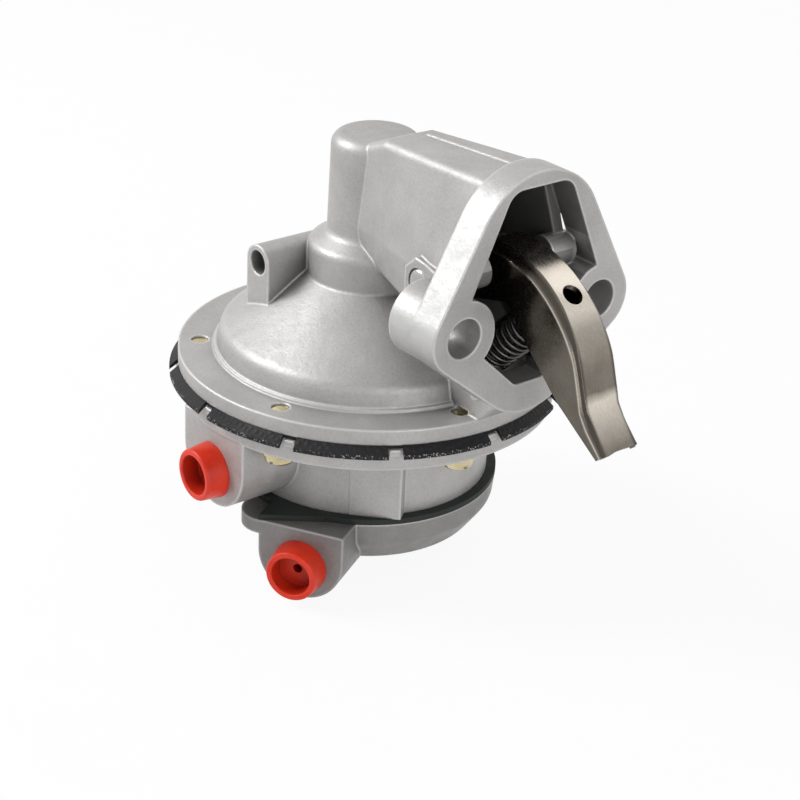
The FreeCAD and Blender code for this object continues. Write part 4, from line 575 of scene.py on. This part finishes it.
def dress_nodes(materials):
    """Give each CAD node its material and smooth shading."""
    for name, key in NODE_MATERIALS.items():
        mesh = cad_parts[name].data
        mesh.materials.clear()
        mesh.materials.append(materials[key])
        smooth(mesh)


# The rocker arm's skin

def rounded_path(corners):
    """Points along straight lines, with an arc at each corner that has a radius."""
    points = []
    for index, corner in enumerate(corners):
        if len(corner) == 2:
            points.append(Vector(corner))
        else:
            before, here, after = (Vector(near[:2]) for near in corners[index - 1:index + 2])
            points += arc_points(before, here, after, corner[2])
    return points


def arc_points(before, corner, after, radius):
    """The arc that joins the two straight lines of a corner, a point every few degrees."""
    come, go = (before - corner).normalized(), (after - corner).normalized()
    half_angle = come.angle(go) / 2
    centre = corner + (come + go).normalized() * (radius / math.sin(half_angle))
    first = corner + come * (radius / math.tan(half_angle)) - centre
    last = corner + go * (radius / math.tan(half_angle)) - centre
    turn = first.angle_signed(last)
    steps = max(3, round(abs(math.degrees(turn)) / ARC_STEP))
    return [centre + turned_by(first, turn * step / steps) for step in range(steps + 1)]


def turned_by(vector, angle):
    """A flat vector turned clockwise by an angle, as angle_signed measures it."""
    cosine, sine = math.cos(angle), math.sin(angle)
    return Vector((vector.x * cosine + vector.y * sine, vector.y * cosine - vector.x * sine))


def between(table, share):
    """A value read off a table of (share, value) pairs."""
    for (start, first), (end, last) in zip(table, table[1:]):
        if share <= end:
            return first + (last - first) * (share - start) / (end - start)
    return table[-1][1]


def spaced(points, step):
    """The same path with no gap between points longer than a step."""
    path = [points[0]]
    for point in points[1:]:
        start = path[-1]
        pieces = max(1, math.ceil((point - start).length / step))
        path += [start.lerp(point, index / pieces) for index in range(1, pieces + 1)]
    return path


def arm_row(shape, path, index, share):
    """The skin's points across the arm, at one point of its back and so far along its length."""
    ahead = (path[min(index + 1, len(path) - 1)] - path[max(index - 1, 0)]).normalized()
    under = Vector((ahead.y, -ahead.x))
    width = between(SHOULDER_WIDTHS, share)
    flat = ARM_HALF - width
    steps = len(PAD_END) - 1
    near = [(-ARM_HALF + inset * width, depth * width) for inset, depth in SHOULDER]
    middle = [(-flat + 2 * flat * step / steps, 0.0) for step in range(1, steps)]
    far = [(-across, depth) for across, depth in reversed(near)]
    row = []
    for across, depth in near + middle + far:
        spot = path[index] + under * depth
        if index == len(path) - 1:
            spot += ahead * between(list(enumerate(PAD_END)), (across / ARM_HALF + 1) / 2 * steps)
        row.append(shape.verts.new(at(spot.x, across, spot.y)))
    return row


def arm_side(shape, back, across):
    """A side plate, from the points along the back down to the arm's lower edge."""
    ring = back + [shape.verts.new(at(spot.x, across, spot.y)) for spot in rounded_path(ARM_EDGE)]
    outline = [Vector((vert.co.x, vert.co.z, 0.0)) * MM_PER_METRE for vert in ring]
    for triple in tessellate_polygon([outline]):
        shape.faces.new([ring[corner] for corner in triple])


def arm_skin():
    """The arm's outer surface: its back, the hollow shoulders and both side plates."""
    path = spaced(rounded_path(ARM_BACK), PATH_STEP)
    lengths = [0.0]
    for first, last in zip(path, path[1:]):
        lengths.append(lengths[-1] + (last - first).length)
    shape = bmesh.new()
    rows = [arm_row(shape, path, index, length / lengths[-1]) for index, length in enumerate(lengths)]
    for first, last in zip(rows, rows[1:]):
        for index in range(len(first) - 1):
            shape.faces.new((first[index], first[index + 1], last[index + 1], last[index]))
    arm_side(shape, [row[0] for row in rows], -ARM_HALF)
    arm_side(shape, [row[-1] for row in rows], ARM_HALF)
    bmesh.ops.recalc_face_normals(shape, faces=shape.faces)
    return mesh_of(shape, "arm_skin")


def seat_web():
    """The web between the side plates, on which the return spring bears."""
    shape = bmesh.new()
    half = ARM_HALF - ARM_WALL + SEAT_SINK
    near = [shape.verts.new(at(x, -half, up)) for x, up in ARM_SEAT]
    far = [shape.verts.new(at(x, half, up)) for x, up in ARM_SEAT]
    shape.faces.new(near)
    shape.faces.new(list(reversed(far)))
    for index in range(len(ARM_SEAT)):
        following = (index + 1) % len(ARM_SEAT)
        shape.faces.new((near[following], near[index], far[index], far[following]))
    bmesh.ops.recalc_face_normals(shape, faces=shape.faces)
    return mesh_of(shape, "arm_seat")


def rod(name, place, direction, radius, length):
    """A round bar about a place in the middle of the arm, to cut a hole with."""
    shape = bmesh.new()
    bmesh.ops.create_cone(shape, cap_ends=True, segments=ROD_SEGMENTS, radius1=radius / MM_PER_METRE,
                          radius2=radius / MM_PER_METRE, depth=length / MM_PER_METRE)
    bar = add_object(name, mesh_of(shape, name))
    turn = direction.to_track_quat("Z", "Y").to_matrix().to_4x4()
    bar.matrix_world = Matrix.Translation(at(place[0], 0, place[1])) @ turn
    return bar


def make_arm(material):
    """The stamped rocker arm, with its pivot bore and the hole through its back."""
    arm = add_object("rocker_arm_pressing", arm_skin())
    wall = arm.modifiers.new("wall", "SOLIDIFY")
    wall.thickness = ARM_WALL / MM_PER_METRE
    wall.offset = -1.0
    cutters = [
        rod("bore_cutter", ARM_PIN, Vector((0, 1, 0)), ARM_BORE, BORE_CUTTER_LENGTH),
        rod("hole_cutter", ARM_HOLE, leaning(ARM_HOLE_LEAN), ARM_HOLE_RADIUS, HOLE_CUTTER_LENGTH),
    ]
    for cutter in cutters:
        cut = arm.modifiers.new(cutter.name, "BOOLEAN")
        cut.operation = "DIFFERENCE"
        cut.solver = "EXACT"
        cut.object = cutter
    bpy.context.view_layer.update()
    evaluated = arm.evaluated_get(bpy.context.evaluated_depsgraph_get())
    shape = bmesh.new()
    shape.from_mesh(evaluated.to_mesh())
    shape.from_mesh(seat_web())
    arm.modifiers.clear()
    arm.data = mesh_of(shape, "arm_pressing")
    for cutter in cutters:
        bpy.data.objects.remove(cutter)
    arm.data.materials.append(material)
    smooth(arm.data)
    weights = arm.modifiers.new("weights", "WEIGHTED_NORMAL")
    weights.keep_sharp = True
    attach(arm, "rocker")
    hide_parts("rocker_arm")


# Pieces that flex between two bodies

def flexing(name):
    """A copy of a CAD piece that is squeezed between the housing and a body that moves."""
    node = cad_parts[name]
    piece = add_object(name + "_flexing", node.data.copy())
    piece.matrix_world = node.matrix_world.copy()
    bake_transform(piece)
    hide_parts(name)


def upright_spring(name):
    """A spring along the pump's axis, copied in place of its CAD node."""
    flexing(name)


def make_flexing_pieces():
    """Copies of the springs in place of their CAD nodes."""
    flexing("return_spring")
    upright_spring("main_spring")
    upright_spring("outlet_valve_spring")
    upright_spring("inlet_valve_spring")


# Camera, light and floor

def make_camera():
    """The camera of the photograph."""
    yaw, pitch, roll = (math.radians(value) for value in (CAMERA_YAW, CAMERA_PITCH, CAMERA_ROLL))
    back = Vector((math.sin(yaw) * math.cos(pitch), -math.cos(yaw) * math.cos(pitch), math.sin(pitch)))
    level = Vector((0, 0, 1)).cross(back).normalized()
    upright = back.cross(level)
    right = level * math.cos(roll) + upright * math.sin(roll)
    up = upright * math.cos(roll) - level * math.sin(roll)
    place = back * CAMERA_DISTANCE + right * CAMERA_ACROSS + up * CAMERA_ALONG
    camera = add_object("camera", bpy.data.cameras.new("camera"))
    camera.data.sensor_width = SENSOR_WIDTH
    camera.data.lens = FOCAL_PIXELS * SENSOR_WIDTH / FRAME_PIXELS
    camera.data.clip_start = CLIP_START
    camera.data.clip_end = CLIP_END
    turn = Matrix((right, up, back)).transposed().to_4x4()
    camera.matrix_world = Matrix.Translation(at(*place)) @ turn
    bpy.context.scene.camera = camera


def make_lights():
    """Soft studio light from square lamps: a key lamp in front, a weak one at the side and one behind."""
    for name, place, side, power in LAMPS:
        lamp = add_object(name, bpy.data.lights.new(name, "AREA"))
        lamp.data.shape = "SQUARE"
        lamp.data.size = side
        lamp.data.energy = power
        lamp.location = place
        lamp.rotation_euler = (Vector(LAMP_TARGET) - Vector(place)).to_track_quat("-Z", "Y").to_euler()


def make_world():
    """A plain grey sky for light, and white for what the camera, metal and glass see."""
    world = bpy.data.worlds.new("studio")
    world.use_nodes = True
    sky = Nodes(world.node_tree)
    background = sky.tree.nodes["Background"]
    background.inputs["Strength"].default_value = 1.0
    sky.link(sky.mix(sky.seen(), SKY_COLOUR, WHITE), background.inputs["Color"])
    bpy.context.scene.world = world


def make_floor():
    """A wide pale floor, which looks white to the camera except in the pump's shadow."""
    shape = bmesh.new()
    bmesh.ops.create_grid(shape, x_segments=1, y_segments=1, size=FLOOR_REACH)
    floor = add_object("floor", mesh_of(shape, "floor"))
    floor.location = (0, 0, FLOOR_UP)
    shader = Shader("floor_paper")
    paper = shader.ramp(shader.noise(60.0, detail=2.0), [(0.3, 0.86), (0.7, 0.89)])
    shader.set(Base_Color=paper, Roughness=0.8, Specular_IOR_Level=0.1)
    shader.glow_white(FLOOR_GLOW)
    floor.data.materials.append(shader.material)


def main():
    """Dress the frame, light it and set the camera."""
    materials = make_materials()
    dress_nodes(materials)
    make_arm(materials["arm"])
    make_flexing_pieces()
    make_camera()
    make_world()
    make_lights()
    make_floor()
    bpy.context.scene.view_settings.view_transform = "Standard"


main()
